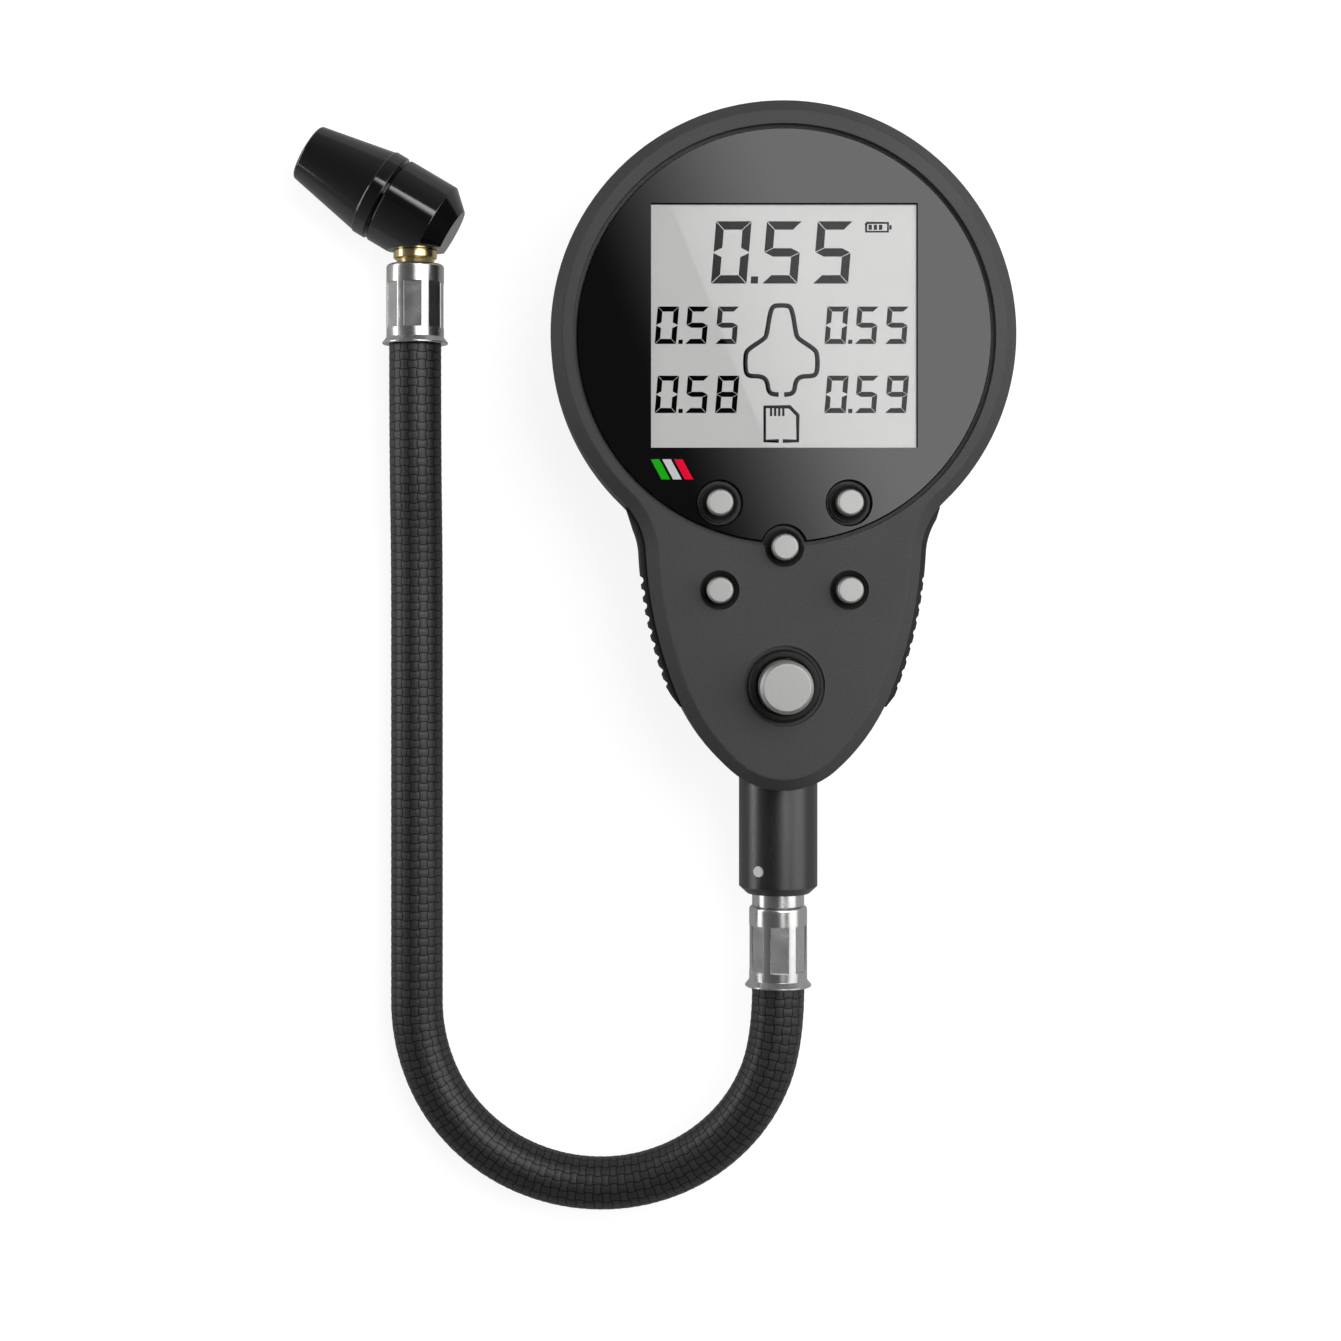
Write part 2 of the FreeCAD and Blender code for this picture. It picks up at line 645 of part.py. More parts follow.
def make_lens():
    body = new_body("lens")
    disc = new_sketch(body)
    draw_circle(disc, "lens_radius", "0", "lens_drop")
    plate_feature = pad(body, disc, "lens_thickness")
    doc.recompute()
    wells = new_sketch(body)
    for name in LENS_BUTTONS:
        draw_circle(wells, "lens_well_radius", *BUTTONS[name])
    cut = pocket(body, wells, "lens_thickness", upwards=True)
    doc.recompute()
    chamfer(body, cut, edges_at_height(cut, value("lens_thickness")), "button_edge")
    return place(body, height="recess_floor + lens_bond")


def make_lens_bond():
    """The black bonding sheet behind the lens, open over the display and the wells."""
    body = new_body("lens_bond")
    sheet = new_sketch(body)
    draw_circle(sheet, "lens_radius", "0", "lens_drop")
    pad(body, sheet, "lens_bond")
    openings = new_sketch(body)
    draw_box(openings, "window_width", "window_height", "0", "window_level")
    for name in LENS_BUTTONS:
        draw_circle(openings, "lens_well_radius", *BUTTONS[name])
    pocket(body, openings, "lens_bond", upwards=True)
    return place(body, height="recess_floor")


def make_display_frame():
    body = new_body("display_frame")
    outer_width = "panel_width + 2 * frame_wall + 2 * fit_clearance"
    outer_height = "panel_height + 2 * frame_wall + 2 * fit_clearance"
    block = new_sketch(body)
    draw_box(block, outer_width, outer_height)
    pad(body, block, "panel_top - board_top")
    seat = new_sketch(body, height="panel_bottom - board_top")
    draw_box(seat, "panel_width + 2 * fit_clearance", "panel_height + 2 * fit_clearance")
    pocket(body, seat, "panel_thickness", upwards=True)
    well = new_sketch(body)
    draw_box(well, "panel_width - 2 * frame_ledge", "panel_height - 2 * frame_ledge")
    pocket(body, well, "panel_bottom - board_top", upwards=True)
    return place(body, "0", "window_level", "board_top")


def make_backlight():
    depth = "panel_height - 2 * frame_ledge - 2 * strip_width - 1"
    return plate("backlight_panel", "panel_width - 2 * frame_ledge - 1", depth,
                 "panel_bottom - board_top - fit_clearance", along="window_level",
                 height="board_top")


def make_contact_strips():
    """Two rubber strips that carry the signals from the board up to the display glass."""
    reach = "panel_height / 2 - frame_ledge - strip_width / 2 - fit_clearance"
    strips = [
        plate(f"contact_strip_{end}", "panel_width - 2 * frame_ledge - 1", "strip_width",
              "panel_bottom - board_top", along=combine("window_level", sign, reach),
              height="board_top")
        for end, sign in (("upper", "+"), ("lower", "-"))
    ]
    return grouped("contact_strips", strips)


# ---------------------------------------------------------------- circuit board

def make_circuit_board():
    body = new_body("circuit_board")
    sheet = new_sketch(body)
    draw_outline(sheet, "case_wall + wall_inset + board_clearance")
    pad(body, sheet, "board_thickness")
    foot = new_sketch(body)
    draw_box(foot, "2 * head_radius", "handle_reach + board_end", "0",
             "(board_end - handle_reach) / 2")
    pocket(body, foot, "board_thickness", upwards=True)
    holes = new_sketch(body)
    for across, along in BOARD_SCREWS:
        draw_circle(holes, "screw_radius + fit_clearance", across, along)
    for across in SENSOR_PINS:
        draw_circle(holes, "sensor_pin_radius + fit_clearance", across, SENSOR_PIN_ROW)
    pocket(body, holes, "board_thickness", upwards=True)
    return place(body, height="board_bottom")


SENSOR_PINS = ("-3", "-1", "1", "3")
SENSOR_PIN_ROW = "manifold_top + sensor_length - 1.2"


def make_switches():
    members = []
    for name, (across, along) in BUTTONS.items():
        members.append(plate(f"{name}_switch", "switch_width", "switch_width", "switch_height",
                             across=across, along=along, height="board_top"))
        plunger = turned(f"{name}_plunger", [("0", "0"), ("plunger_radius", "0"),
                                             ("plunger_radius", "plunger_rise"),
                                             ("0", "plunger_rise")],
                         across=across, along=along, height="board_top + switch_height")
        members.append(plunger)
    return members


def make_push_switches():
    """Five switches, each with its plunger joined to its base."""
    parts = make_switches()
    joined = []
    for base, plunger in zip(parts[::2], parts[1::2]):
        switch = doc.addObject("Part::Fuse", f"{base.Name}_whole")
        switch.Base = base
        switch.Tool = plunger
        joined.append(switch)
    return grouped("push_switches", joined)


# ---------------------------------------------------------------- buttons

def make_button(label, across, along):
    """A metal cap on a stem, held in by a flange under the case shelf."""
    flange_top = "(cavity_top - seal_clearance - button_base)"
    flange_base = combine(flange_top, "-", "flange_thickness")
    cap_base = "recess_floor + 0.8 - button_base"
    cap_top = "case_depth + button_rise - button_base"
    profile = [
        ("0", "0"), ("button_stem", "0"), ("button_stem", flange_base),
        ("button_flange", flange_base), ("button_flange", flange_top),
        ("button_stem", flange_top), ("button_stem", cap_base), ("button_radius", cap_base),
        ("button_radius", combine(cap_top, "-", "button_edge")),
        ("button_radius - button_edge", cap_top), ("0", cap_top),
    ]
    return turned(label, profile, across=across, along=along, height="button_base")


def make_button_seals():
    """A rubber ring in each well, dished round the stem that passes through it."""
    bore = "button_stem + seal_clearance"
    profile = [
        (bore, "0"), ("well_radius - fit_clearance", "0"),
        ("well_radius - fit_clearance", "shelf_wall + seal_dish"),
        ("well_radius - seal_clearance", "shelf_wall + seal_dish"),
        ("button_radius + seal_room", "shelf_wall"), (bore, "shelf_wall"),
    ]
    seals = [
        turned(f"{name}_seal", profile, across=across, along=along, height="cavity_top + 0.1")
        for name, (across, along) in BUTTONS.items()
    ]
    return grouped("button_seals", seals)


# ---------------------------------------------------------------- bleed valve

def make_bleed_button():
    """A tall metal cap with a cup for its spring and a flange that keeps it in."""
    top = "bleed_rise + bleed_skirt"
    cup = "bleed_skirt - 1"
    flange_top = "cavity_top - seal_clearance - cap_base"
    stem_hole = "bleed_stem_radius + 0.02"
    profile = [
        ("bleed_cup_radius", "0"), ("bleed_flange", "0"), ("bleed_flange", flange_top),
        ("bleed_radius", flange_top), ("bleed_radius", combine(top, "-", "bleed_edge")),
        ("bleed_radius - bleed_edge", top), ("0", top), ("0", combine(cup, "+", "2.5")),
        (stem_hole, combine(cup, "+", "2.5")), (stem_hole, cup), ("bleed_cup_radius", cup),
    ]
    return turned("bleed_button", profile, along="bleed_level", height="cap_base")


def make_bleed_collar():
    profile = [
        ("collar_bore", "0"), ("collar_radius", "0"),
        ("collar_radius", "case_depth - cavity_top + collar_rise - 0.4"),
        ("collar_radius - 0.4", "case_depth - cavity_top + collar_rise"),
        ("collar_bore + 0.3", "case_depth - cavity_top + collar_rise"),
        ("collar_bore", "case_depth - cavity_top + collar_rise - 0.3"),
    ]
    return turned("bleed_collar", profile, along="bleed_level", height="cavity_top")


def make_bleed_stem():
    """The stem with the poppet that closes the valve bush from below."""
    poppet_top = "2.7"
    stem_top = "cap_base + bleed_skirt + 1.5 - poppet_base"
    profile = [
        ("0", "0"), ("poppet_radius", "0"), ("poppet_radius", poppet_top),
        ("bleed_stem_radius", poppet_top), ("bleed_stem_radius", stem_top), ("0", stem_top),
    ]
    return turned("bleed_stem", profile, along="bleed_level", height="poppet_base")


def make_bleed_bush():
    return ring("bleed_bush", "bleed_stem_radius + fit_clearance", "bush_radius - fit_clearance",
                "bush_length", along="bleed_level", height="bush_bottom")


def make_bleed_seal():
    return o_ring("bleed_seal", "bleed_stem_radius + 0.35 + 0.05", "0.35", along="bleed_level",
                  height="bush_bottom - 0.9 + 0.35 + 0.05")


def make_bleed_spring():
    wire = value("spring_wire")
    coil = value("spring_radius")
    free_height = value("cap_base + bleed_skirt - 1 - manifold_roof - 2 * spring_wire - 2 * fit_clearance")
    pitch = free_height / value("spring_turns")
    path = Part.makeHelix(pitch, free_height, coil)
    start = FreeCAD.Vector(coil, 0, 0)
    circle = Part.Wire(Part.makeCircle(wire, start, FreeCAD.Vector(0, 1, pitch / (7 * coil))))
    spring = doc.addObject("Part::Feature", "bleed_spring")
    spring.Shape = Part.Wire(path).makePipeShell([circle], True, True)
    spring.Placement = FreeCAD.Placement(
        FreeCAD.Vector(0, value("bleed_level"), value("manifold_roof + spring_wire + fit_clearance")),
        FreeCAD.Rotation())
    return spring


# ---------------------------------------------------------------- manifold and tube

def make_manifold():
    body = new_body("manifold_block")
    middle = "(manifold_top - tube_inner) / 2"
    block = new_sketch(body, height="manifold_base")
    draw_box(block, "manifold_width", "manifold_top + tube_inner", "0", middle)
    pad(body, block, "manifold_height")
    valve = new_sketch(body, height="manifold_roof")
    draw_circle(valve, "bush_radius", "0", "bleed_level")
    pocket(body, valve, "manifold_height - 2")
    gallery = new_sketch(body, "XZ_Plane", "-manifold_top")
    draw_circle(gallery, "gallery_radius", "0", "tube_axis")
    pocket(body, gallery, "2 * (manifold_top + tube_inner)", both_ways=True)
    spigot_seat = new_sketch(body, "XZ_Plane", "tube_inner")
    draw_circle(spigot_seat, "spigot_radius + fit_clearance", "0", "tube_axis")
    pocket(body, spigot_seat, "spigot_length")
    sensor_seat = new_sketch(body, "XZ_Plane", "-manifold_top")
    draw_circle(sensor_seat, "sensor_radius / 2 + fit_clearance", "0", "tube_axis")
    pocket(body, sensor_seat, "2", upwards=True)
    screw_holes = new_sketch(body, height="manifold_base")
    for across, along in MANIFOLD_SCREWS:
        draw_circle(screw_holes, "cover_screw_radius + fit_clearance", across, along)
    pocket(body, screw_holes, "manifold_height", upwards=True)
    return place(body)


def make_screw(label, radius, head_radius, head_height, length, **where):
    """A pan-head screw with a hexagon socket, its shank running down from its origin."""
    shank = combine(radius, "-", "0.1")
    tip = combine("0", "-", length)
    edge = "0.3"
    body = turned(label, [
        ("0", tip), (shank, tip), (shank, "0"), (head_radius, "0"),
        (head_radius, combine(head_height, "-", edge)),
        (combine(head_radius, "-", edge), head_height), ("0", head_height),
    ], **where)
    socket = new_sketch(body, height=head_height)
    corner = f"({head_radius}) * 0.55"
    draw_polygon(socket, [(f"{corner} * cos({turn} * 1deg)", f"{corner} * sin({turn} * 1deg)")
                          for turn in range(0, 360, 60)])
    pocket(body, socket, combine(head_height, "*", "0.6"))
    return body


def make_screws(label, spots, radius, head_radius, head_height, length, height, turn):
    screws = [
        make_screw(f"{label}_{number}", radius, head_radius, head_height, length,
                   across=across, along=along, height=height, turn=turn)
        for number, (across, along) in enumerate(spots)
    ]
    return grouped(label, screws)


def make_tube_socket():
    """The black tube that carries the swivel, screwed into the manifold."""
    length = "tube_end - tube_inner"
    bore_end = "tube_end - tube_inner - stem_depth - 0.5"
    bore = "stem_radius + stem_clearance"
    body = turned("tube_socket", [
        ("gallery_radius", "-spigot_length"), ("spigot_radius", "-spigot_length"),
        ("spigot_radius", "0"), ("tube_radius", "0"),
        ("tube_radius", combine(length, "-", "tube_chamfer_length")),
        ("tube_radius - tube_chamfer", length), (bore, length), (bore, bore_end),
        ("gallery_radius", bore_end),
    ], along="-tube_inner", height="tube_axis", turn="towards_hose")
    pin_hole = new_sketch(body, "XZ_Plane")
    draw_circle(pin_hole, "pin_radius", "-pin_offset", combine(length, "-", "pin_from_end"))
    pocket(body, pin_hole, "3 * tube_radius", both_ways=True)
    return body


def make_retaining_pin():
    half = "(sqrt(tube_radius ^ 2 - pin_offset ^ 2) - 0.1)"
    return turned("retaining_pin", [
        ("0", f"-{half}"), ("pin_radius - 0.005", f"-{half}"), ("pin_radius - 0.005", half),
        ("0", half),
    ], across="-pin_offset", along="pin_from_end - tube_end", height="tube_axis")


def make_pressure_sensor():
    body = turned("pressure_sensor", [
        ("0", "-1.9"), ("sensor_radius / 2", "-1.9"), ("sensor_radius / 2", "0"),
        ("sensor_radius - 0.4", "0"), ("sensor_radius - 0.4", "sensor_length - 2.4"),
        ("sensor_radius", "sensor_length - 2.4"), ("sensor_radius", "sensor_length"),
        ("0", "sensor_length"),
    ], along="manifold_top", height="tube_axis", turn="towards_head")
    holes = new_sketch(body, "XZ_Plane", "pin_root - tube_axis")
    for across in SENSOR_PINS:
        draw_circle(holes, "sensor_pin_radius + fit_clearance", across,
                    combine(SENSOR_PIN_ROW, "-", "manifold_top"))
    pocket(body, holes, "sensor_radius", upwards=True)
    return body


def make_sensor_pins():
    length = "board_top + 0.8 - pin_root"
    pins = [
        turned(f"sensor_pin_{number}", [("0", "0"), ("sensor_pin_radius", "0"),
                                        ("sensor_pin_radius", length), ("0", length)],
               across=across, along=SENSOR_PIN_ROW, height="pin_root")
        for number, across in enumerate(SENSOR_PINS)
    ]
    return grouped("sensor_pins", pins)


# ---------------------------------------------------------------- swivel, hose and ferrules

HOSE_START = "-(tube_end + stem_show + ferrule_length)"
HOSE_FINISH = "leg_end - ferrule_length"


def barb_profile(root, length):
    """Corners of a three-toothed hose barb, from its foot outwards to its tip."""
    corners = [("barb_root", root)]
    for tooth in (1, 2, 3):
        level = combine(root, "+", f"({length}) * {tooth} / 3.5")
        corners.append(("barb_root", combine(level, "-", "0.4")))
        corners.append(("barb_radius", combine(level, "-", "0.2")))
        corners.append(("barb_root", combine(level, "+", "2")))
    return corners[:-1]


def make_swivel_stem():
    seal_floor = "stem_radius - 2 * ring_wire - fit_clearance"
    pin_floor = "pin_offset - pin_radius - pin_clearance"
    pin_half = "pin_radius + pin_clearance"
    tip = "stem_show + ferrule_length - 1.4"
    profile = [("bore_radius", "-stem_depth"), ("stem_radius", "-stem_depth")]
    for level in STEM_SEALS:
        low = combine(level, "-", "ring_wire + fit_clearance")
        high = combine(level, "+", "ring_wire + fit_clearance")
        profile += [("stem_radius", low), (seal_floor, low), (seal_floor, high),
                    ("stem_radius", high)]
    low = combine("-pin_from_end", "-", pin_half)
    high = combine("-pin_from_end", "+", pin_half)
    profile += [("stem_radius", low), (pin_floor, low), (pin_floor, high),
                ("stem_radius", high), ("stem_radius", "stem_show")]
    profile += barb_profile("stem_show", "ferrule_length - 1.4")
    profile += [("barb_root", tip), ("bore_radius", tip)]
    return turned("swivel_stem", profile, along="-tube_end", height="tube_axis",
                  turn="towards_hose")


STEM_SEALS = ("-14.8", "-10.4")


def make_stem_seals():
    seals = [
        o_ring(f"stem_seal_{number}", "stem_radius - ring_wire", "ring_wire",
               along=combine("-tube_end", "-", level), height="tube_axis",
               turn="towards_hose")
        for number, level in enumerate(STEM_SEALS)
    ]
    return grouped("stem_seals", seals)


def make_ferrule(label, **where):
    """A crimped sleeve: flared lip at the hose end, flats pressed in all round."""
    length = "ferrule_length"
    hole = "barb_root + fit_clearance"
    body = turned(label, [
        ("ferrule_bore", "0"), ("ferrule_flange - 0.15", "0"), ("ferrule_flange", "0.15"),
        ("ferrule_flange", "ferrule_flange_length"),
        ("ferrule_radius", "ferrule_flange_length + ferrule_flare"),
        ("ferrule_radius", length), (hole, length),
        (hole, "ferrule_length - 1.2"), ("ferrule_bore", "ferrule_length - 1.2"),
    ], **where)
    doc.recompute()
    sleeve = body.Tip
    outer_edge = edges_at_height(sleeve, value(length), value("4 * ferrule_radius"))
    fillet(body, sleeve, outer_edge, "ferrule_shoulder")
    crimp = new_sketch(body, "XZ_Plane", "ferrule_radius - crimp_depth")
    draw_box(crimp, "crimp_width", "crimp_length", "0",
             "ferrule_length - crimp_start - crimp_length / 2")
    cut = pocket(body, crimp, "2 * crimp_depth", upwards=True)
    doc.recompute()
    around = body.newObject("PartDesign::PolarPattern", f"{label}_crimps")
    around.Originals = [cut]
    upright = [axis for axis in body.Origin.OriginFeatures if axis.Role == "Z_Axis"][0]
    around.Axis = (upright, [""])
    around.Angle = 360
    bind(around, "Occurrences", "crimp_count")
    body.Tip = around
    return body


def make_hose_ends():
    """The two ends of the hose, squeezed between the barbs and the ferrules."""
    length = "ferrule_length - 1.3"
    ends = [
        ring("hose_end_lower", "barb_radius + 0.02", "ferrule_bore - fit_clearance", length,
             along=HOSE_START, height="tube_axis", turn="towards_head"),
        ring("hose_end_upper", "barb_radius + 0.02", "ferrule_bore - fit_clearance", length,
             across="-leg_offset", along=HOSE_FINISH, height="chuck_level",
             turn="towards_head"),
    ]
    return grouped("hose_ends", ends)


def hose_route():
    """Route of the free hose, chosen by hand: out of the swivel, round, and up the long leg."""
    start = FreeCAD.Vector(0, value(HOSE_START), value("tube_axis"))
    finish = FreeCAD.Vector(-value("leg_offset"), value(HOSE_FINISH), value("chuck_level"))
    between = [
        (0, -133.4, 12.5), (-5.1, -146.3, 11.2), (-14.9, -156.1, 9), (-27.7, -161.4, 6.8),
        (-41.6, -161.4, 5.4), (-54.4, -156.1, 5.05), (-64.2, -146.3, 5), (-69.3, -133.4, 5),
        (-69.3, -41, 5.05), (-69.3, -20, 8.7),
    ]
    return [start] + [FreeCAD.Vector(*point) for point in between] + [finish]


def rounded_path(route, share=0.45):
    """Straight runs joined by tangent arcs, each as large as its two runs allow."""
    edges = []
    radii = []
    last = route[0]
    for before, corner, after in zip(route, route[1:], route[2:]):
        shorter = min((corner - before).Length, (after - corner).Length)
        arriving = (corner - before).normalize()
        leaving = (after - corner).normalize()
        turn = arriving.getAngle(leaving)
        back = share * shorter
        radius = back / math.tan(turn / 2)
        first = corner - arriving * back
        second = corner + leaving * back
        inward = (leaving - arriving).normalize()
        middle = corner + inward * (radius / math.cos(turn / 2) - radius)
        edges.append(Part.LineSegment(last, first).toShape())
        edges.append(Part.Arc(first, middle, second).toShape())
        radii.append(radius)
        last = second
    edges.append(Part.LineSegment(last, route[-1]).toShape())
    return Part.Wire(edges), radii


def make_hose():
    route = hose_route()
    path, radii = rounded_path(route)
    normal = (route[1] - route[0]).normalize()
    section = Part.Wire(Part.makeCircle(value("hose_radius"), route[0], normal))
    hose = doc.addObject("Part::Feature", "hose")
    hose.Label = "hose"
    hose.Shape = path.makePipeShell([section], True, False)
    hose.Placement = FreeCAD.Placement()
    print("hose bend radii", [round(radius, 1) for radius in radii])
    expected = math.pi * value("hose_radius") ** 2 * path.Length
    print(f"hose length {path.Length:.1f}, volume {hose.Shape.Volume:.0f} of {expected:.0f}")
    return hose


# ---------------------------------------------------------------- nipple and chuck

def make_nipple():
    foot = "1.4 - ferrule_length"
    collar = "nipple_collar"
    shelf = "nipple_collar + nipple_ring"
    top = combine(shelf, "+", "nipple_depth")
    mirrored = [(radius, combine("0", "-", f"({height})"))
                for radius, height in barb_profile("0", "ferrule_length - 1.4")]
    profile = [("bore_radius", foot), ("barb_root", foot)]
    profile += mirrored[::-1]
    profile += [("nipple_collar_radius - 0.4", "0"), ("nipple_collar_radius", collar),
                ("nipple_radius - 0.2", collar), ("nipple_radius", combine(collar, "+", "0.2")),
                ("nipple_radius", shelf), ("nipple_thread", shelf), ("nipple_thread", top),
                ("bore_radius", top)]
    return turned("brass_nipple", profile, across="-leg_offset", along="leg_end",
                  height="chuck_level", turn="towards_head")


def along_chuck(thing):
    """Puts a piece, drawn inwards from the mouth along its own Z, on the tilted chuck axis."""
    tilt = FreeCAD.Rotation(FreeCAD.Vector(0, 0, 1), -value("chuck_tilt"))
    thing.Placement = FreeCAD.Placement(FreeCAD.Vector(0, 0, 0), tilt * TURN["right"])
    bind(thing, "Placement.Base.x", "-leg_offset - chuck_reach * cos(chuck_tilt * 1deg)")
    bind(thing, "Placement.Base.y", "chuck_cross + chuck_reach * sin(chuck_tilt * 1deg)")
    bind(thing, "Placement.Base.z", "chuck_level")
    return thing


CHUCK_RING_END = "(cone_length + chuck_ring_length)"
CHUCK_BODY_FRONT = "(cone_length + chuck_ring_length + chuck_groove)"
CHUCK_BODY_BACK = "(cone_length + chuck_ring_length + chuck_body_length)"
SPIGOT_END = "(cone_length + chuck_ring_length + chuck_spigot_length)"


def make_chuck_nose():
    """The tapered nose: valve bore in front, chamber for the seal behind, spigot at the back."""
    return along_chuck(turned("chuck_nose", [
        ("valve_bore", "0.5"), ("valve_bore + 0.5", "0"), ("mouth_radius - 0.3", "0"),
        ("mouth_radius", "0.3"), ("cone_radius", "cone_length"),
        ("chuck_ring_radius", "cone_length + 0.15"), ("chuck_ring_radius", CHUCK_RING_END),
        ("chuck_spigot", CHUCK_RING_END), ("chuck_spigot", SPIGOT_END),
        ("chamber_radius", SPIGOT_END), ("chamber_radius", "valve_depth"),
        ("valve_bore", "valve_depth"),
    ]))


def make_chuck_body():
    """The angled body: closed at the back, flat where the nipple screws in."""
    seat = combine(SPIGOT_END, "+", "0.2")
    solid = along_chuck(turned("chuck_body_turning", [
        ("0", combine(seat, "+", "3")), ("chamber_radius - 2", combine(seat, "+", "3")),
        ("chamber_radius - 2", seat), ("chuck_spigot + fit_clearance", seat),
        ("chuck_spigot + fit_clearance", CHUCK_BODY_FRONT),
        ("chuck_body_radius - 0.3", CHUCK_BODY_FRONT),
        ("chuck_body_radius", combine(CHUCK_BODY_FRONT, "+", "0.3")),
        ("chuck_body_radius", combine(CHUCK_BODY_BACK, "-", "chuck_bevel_length")),
        ("chuck_end_radius", CHUCK_BODY_BACK), ("0", CHUCK_BODY_BACK),
    ]))
    below = doc.addObject("Part::Box", "chuck_body_flat")
    for side in ("Length", "Width", "Height"):
        bind(below, side, "4 * chuck_body_radius")
    place(below, "-leg_offset - 2 * chuck_body_radius", "chuck_flat - 4 * chuck_body_radius",
          "chuck_level - 2 * chuck_body_radius")
    socket = doc.addObject("Part::Cylinder", "chuck_body_socket")
    bind(socket, "Radius", "nipple_thread + fit_clearance")
    bind(socket, "Height", "nipple_depth + 0.2")
    place(socket, "-leg_offset", "chuck_flat", "chuck_level", "towards_head")
    passage = doc.addObject("Part::Cylinder", "chuck_body_passage")
    bind(passage, "Radius", "bore_radius")
    bind(passage, "Height", "chuck_lift")
    place(passage, "-leg_offset", "chuck_flat", "chuck_level", "towards_head")
    flattened = cut_away("chuck_body_flattened", solid, below)
    bored = cut_away("chuck_body_bored", flattened, socket)
    return cut_away("chuck_body", bored, passage)


def make_chuck_seal():
    return along_chuck(turned("chuck_seal", [
        ("chuck_seal_bore", "valve_depth + 0.02"),
        ("chamber_radius - fit_clearance", "valve_depth + 0.02"),
        ("chamber_radius - fit_clearance", "valve_depth + chuck_seal_thickness"),
        ("chuck_seal_bore", "valve_depth + chuck_seal_thickness"),
    ]))


def make_depressor():
    """The pin that opens the tyre valve, on a disc behind the seal."""
    disc_front = "valve_depth + chuck_seal_thickness"
    disc_back = "valve_depth + chuck_seal_thickness + depressor_disc"
    body = along_chuck(turned("depressor_pin", [
        ("0", "valve_depth + 0.3"), ("depressor_radius", "valve_depth + 0.3"),
        ("depressor_radius", disc_front), ("chamber_radius - fit_clearance", disc_front),
        ("chamber_radius - fit_clearance", disc_back), ("0", disc_back),
    ]))
    doc.recompute()
    hole = new_sketch(body, height=disc_back)
    draw_circle(hole, "0.8", "(chamber_radius + depressor_radius) / 2", "0")
    cut = pocket(body, hole, "depressor_disc")
    doc.recompute()
    around = body.newObject("PartDesign::PolarPattern", "depressor_vents")
    around.Originals = [cut]
    around.Axis = ([axis for axis in body.Origin.OriginFeatures if axis.Role == "Z_Axis"][0], [""])
    around.Angle = 360
    around.Occurrences = 4
    body.Tip = around
    return body


def make_chuck_sleeve():
    disc_back = "valve_depth + chuck_seal_thickness + depressor_disc"
    end = combine(SPIGOT_END, "-", "0.1")
    return along_chuck(turned("chuck_sleeve", [
        ("chamber_radius - 1.2", disc_back), ("chamber_radius - fit_clearance", disc_back),
        ("chamber_radius - fit_clearance", end), ("chamber_radius - 1.2", end),
    ]))


# ---------------------------------------------------------------- batteries and their cover

BATTERY_ROWS = ("battery_radius + battery_gap / 2", "-(battery_radius + battery_gap / 2)")


def make_batteries():
    cells = []
    for number, row in enumerate(BATTERY_ROWS):
        side = "" if number else "-"
        cells.append(turned(f"battery_{number}", [
            ("0", "0"), ("battery_radius", "0"), ("battery_radius", "battery_length - 1"),
            ("1.9", "battery_length - 1"), ("1.9", "battery_length"), ("0", "battery_length"),
        ], across=f"{side}battery_length / 2", along=combine("battery_level", "+", row),
            height="battery_axis", turn="left" if number else "right"))
    return grouped("batteries", cells)


def make_contacts():
    """Sheet-metal contacts at both ends, with a raised dimple for each positive end."""
    contacts = []
    for number, row in enumerate(BATTERY_ROWS):
        along = combine("battery_level", "+", row)
        for end, turn in (("-", "right"), ("", "left")):
            positive = (end == "") == (number == 0)
            rise = "contact_space - 0.1" if positive else "contact_thickness"
            contacts.append(turned(f"battery_contact_{number}_{turn}", [
                ("0", "0"), ("battery_radius - 0.6", "0"),
                ("battery_radius - 0.6", "contact_thickness"), ("1.6", "contact_thickness"),
                ("1.4", combine(rise, "+", "0.001")), ("0", combine(rise, "+", "0.001")),
            ], across=f"{end}tub_width / 2", along=along, height="battery_axis", turn=turn))
    return grouped("battery_contacts", contacts)


def make_battery_springs():
    """A dished spring washer between each cell's flat end and its contact."""
    reach = "contact_space - contact_thickness - 2 * fit_clearance"
    profile = [("dish_foot", "0"), ("dish_foot + dish_leaf", "0"),
               ("dish_tip + dish_leaf", reach), ("dish_tip", reach)]
    springs = []
    for number, row in enumerate(BATTERY_ROWS):
        side = 1 if number else -1
        springs.append(turned(
            f"battery_spring_{number}", profile,
            across=f"{side} * (tub_width / 2 - contact_thickness - fit_clearance)",
            along=combine("battery_level", "+", row), height="battery_axis",
            turn="left" if number else "right"))
    return grouped("battery_springs", springs)


def draw_rounded_box(sketch, width, depth, corner, along="0"):
    """A box with round corners, held by the centres and radii of its corners."""
    turns = ((1, 1, 0), (-1, 1, 90), (-1, -1, 180), (1, -1, 270))
    arcs = []
    for across_side, along_side, first in turns:
        across = f"{across_side} * (({width}) / 2 - ({corner}))"
        level = f"({along}) + {along_side} * (({depth}) / 2 - ({corner}))"
        centre = FreeCAD.Vector(value(across), value(level), 0)
        circle = Part.Circle(centre, FreeCAD.Vector(0, 0, 1), value(corner))
        arc = sketch.addGeometry(Part.ArcOfCircle(circle, math.radians(first),
                                                  math.radians(first + 90)))
        hold_point(sketch, arc, 3, across, level)
        hold(sketch, "Radius", corner, arc)
        arcs.append(arc)
    for arc, after in zip(arcs, arcs[1:] + arcs[:1]):
        ends = (sketch.getPoint(arc, 2), sketch.getPoint(after, 1))
        line = sketch.addGeometry(Part.LineSegment(*ends))
        sketch.addConstraint(Sketcher.Constraint("Tangent", arc, 2, line, 1))
        sketch.addConstraint(Sketcher.Constraint("Tangent", line, 2, after, 1))


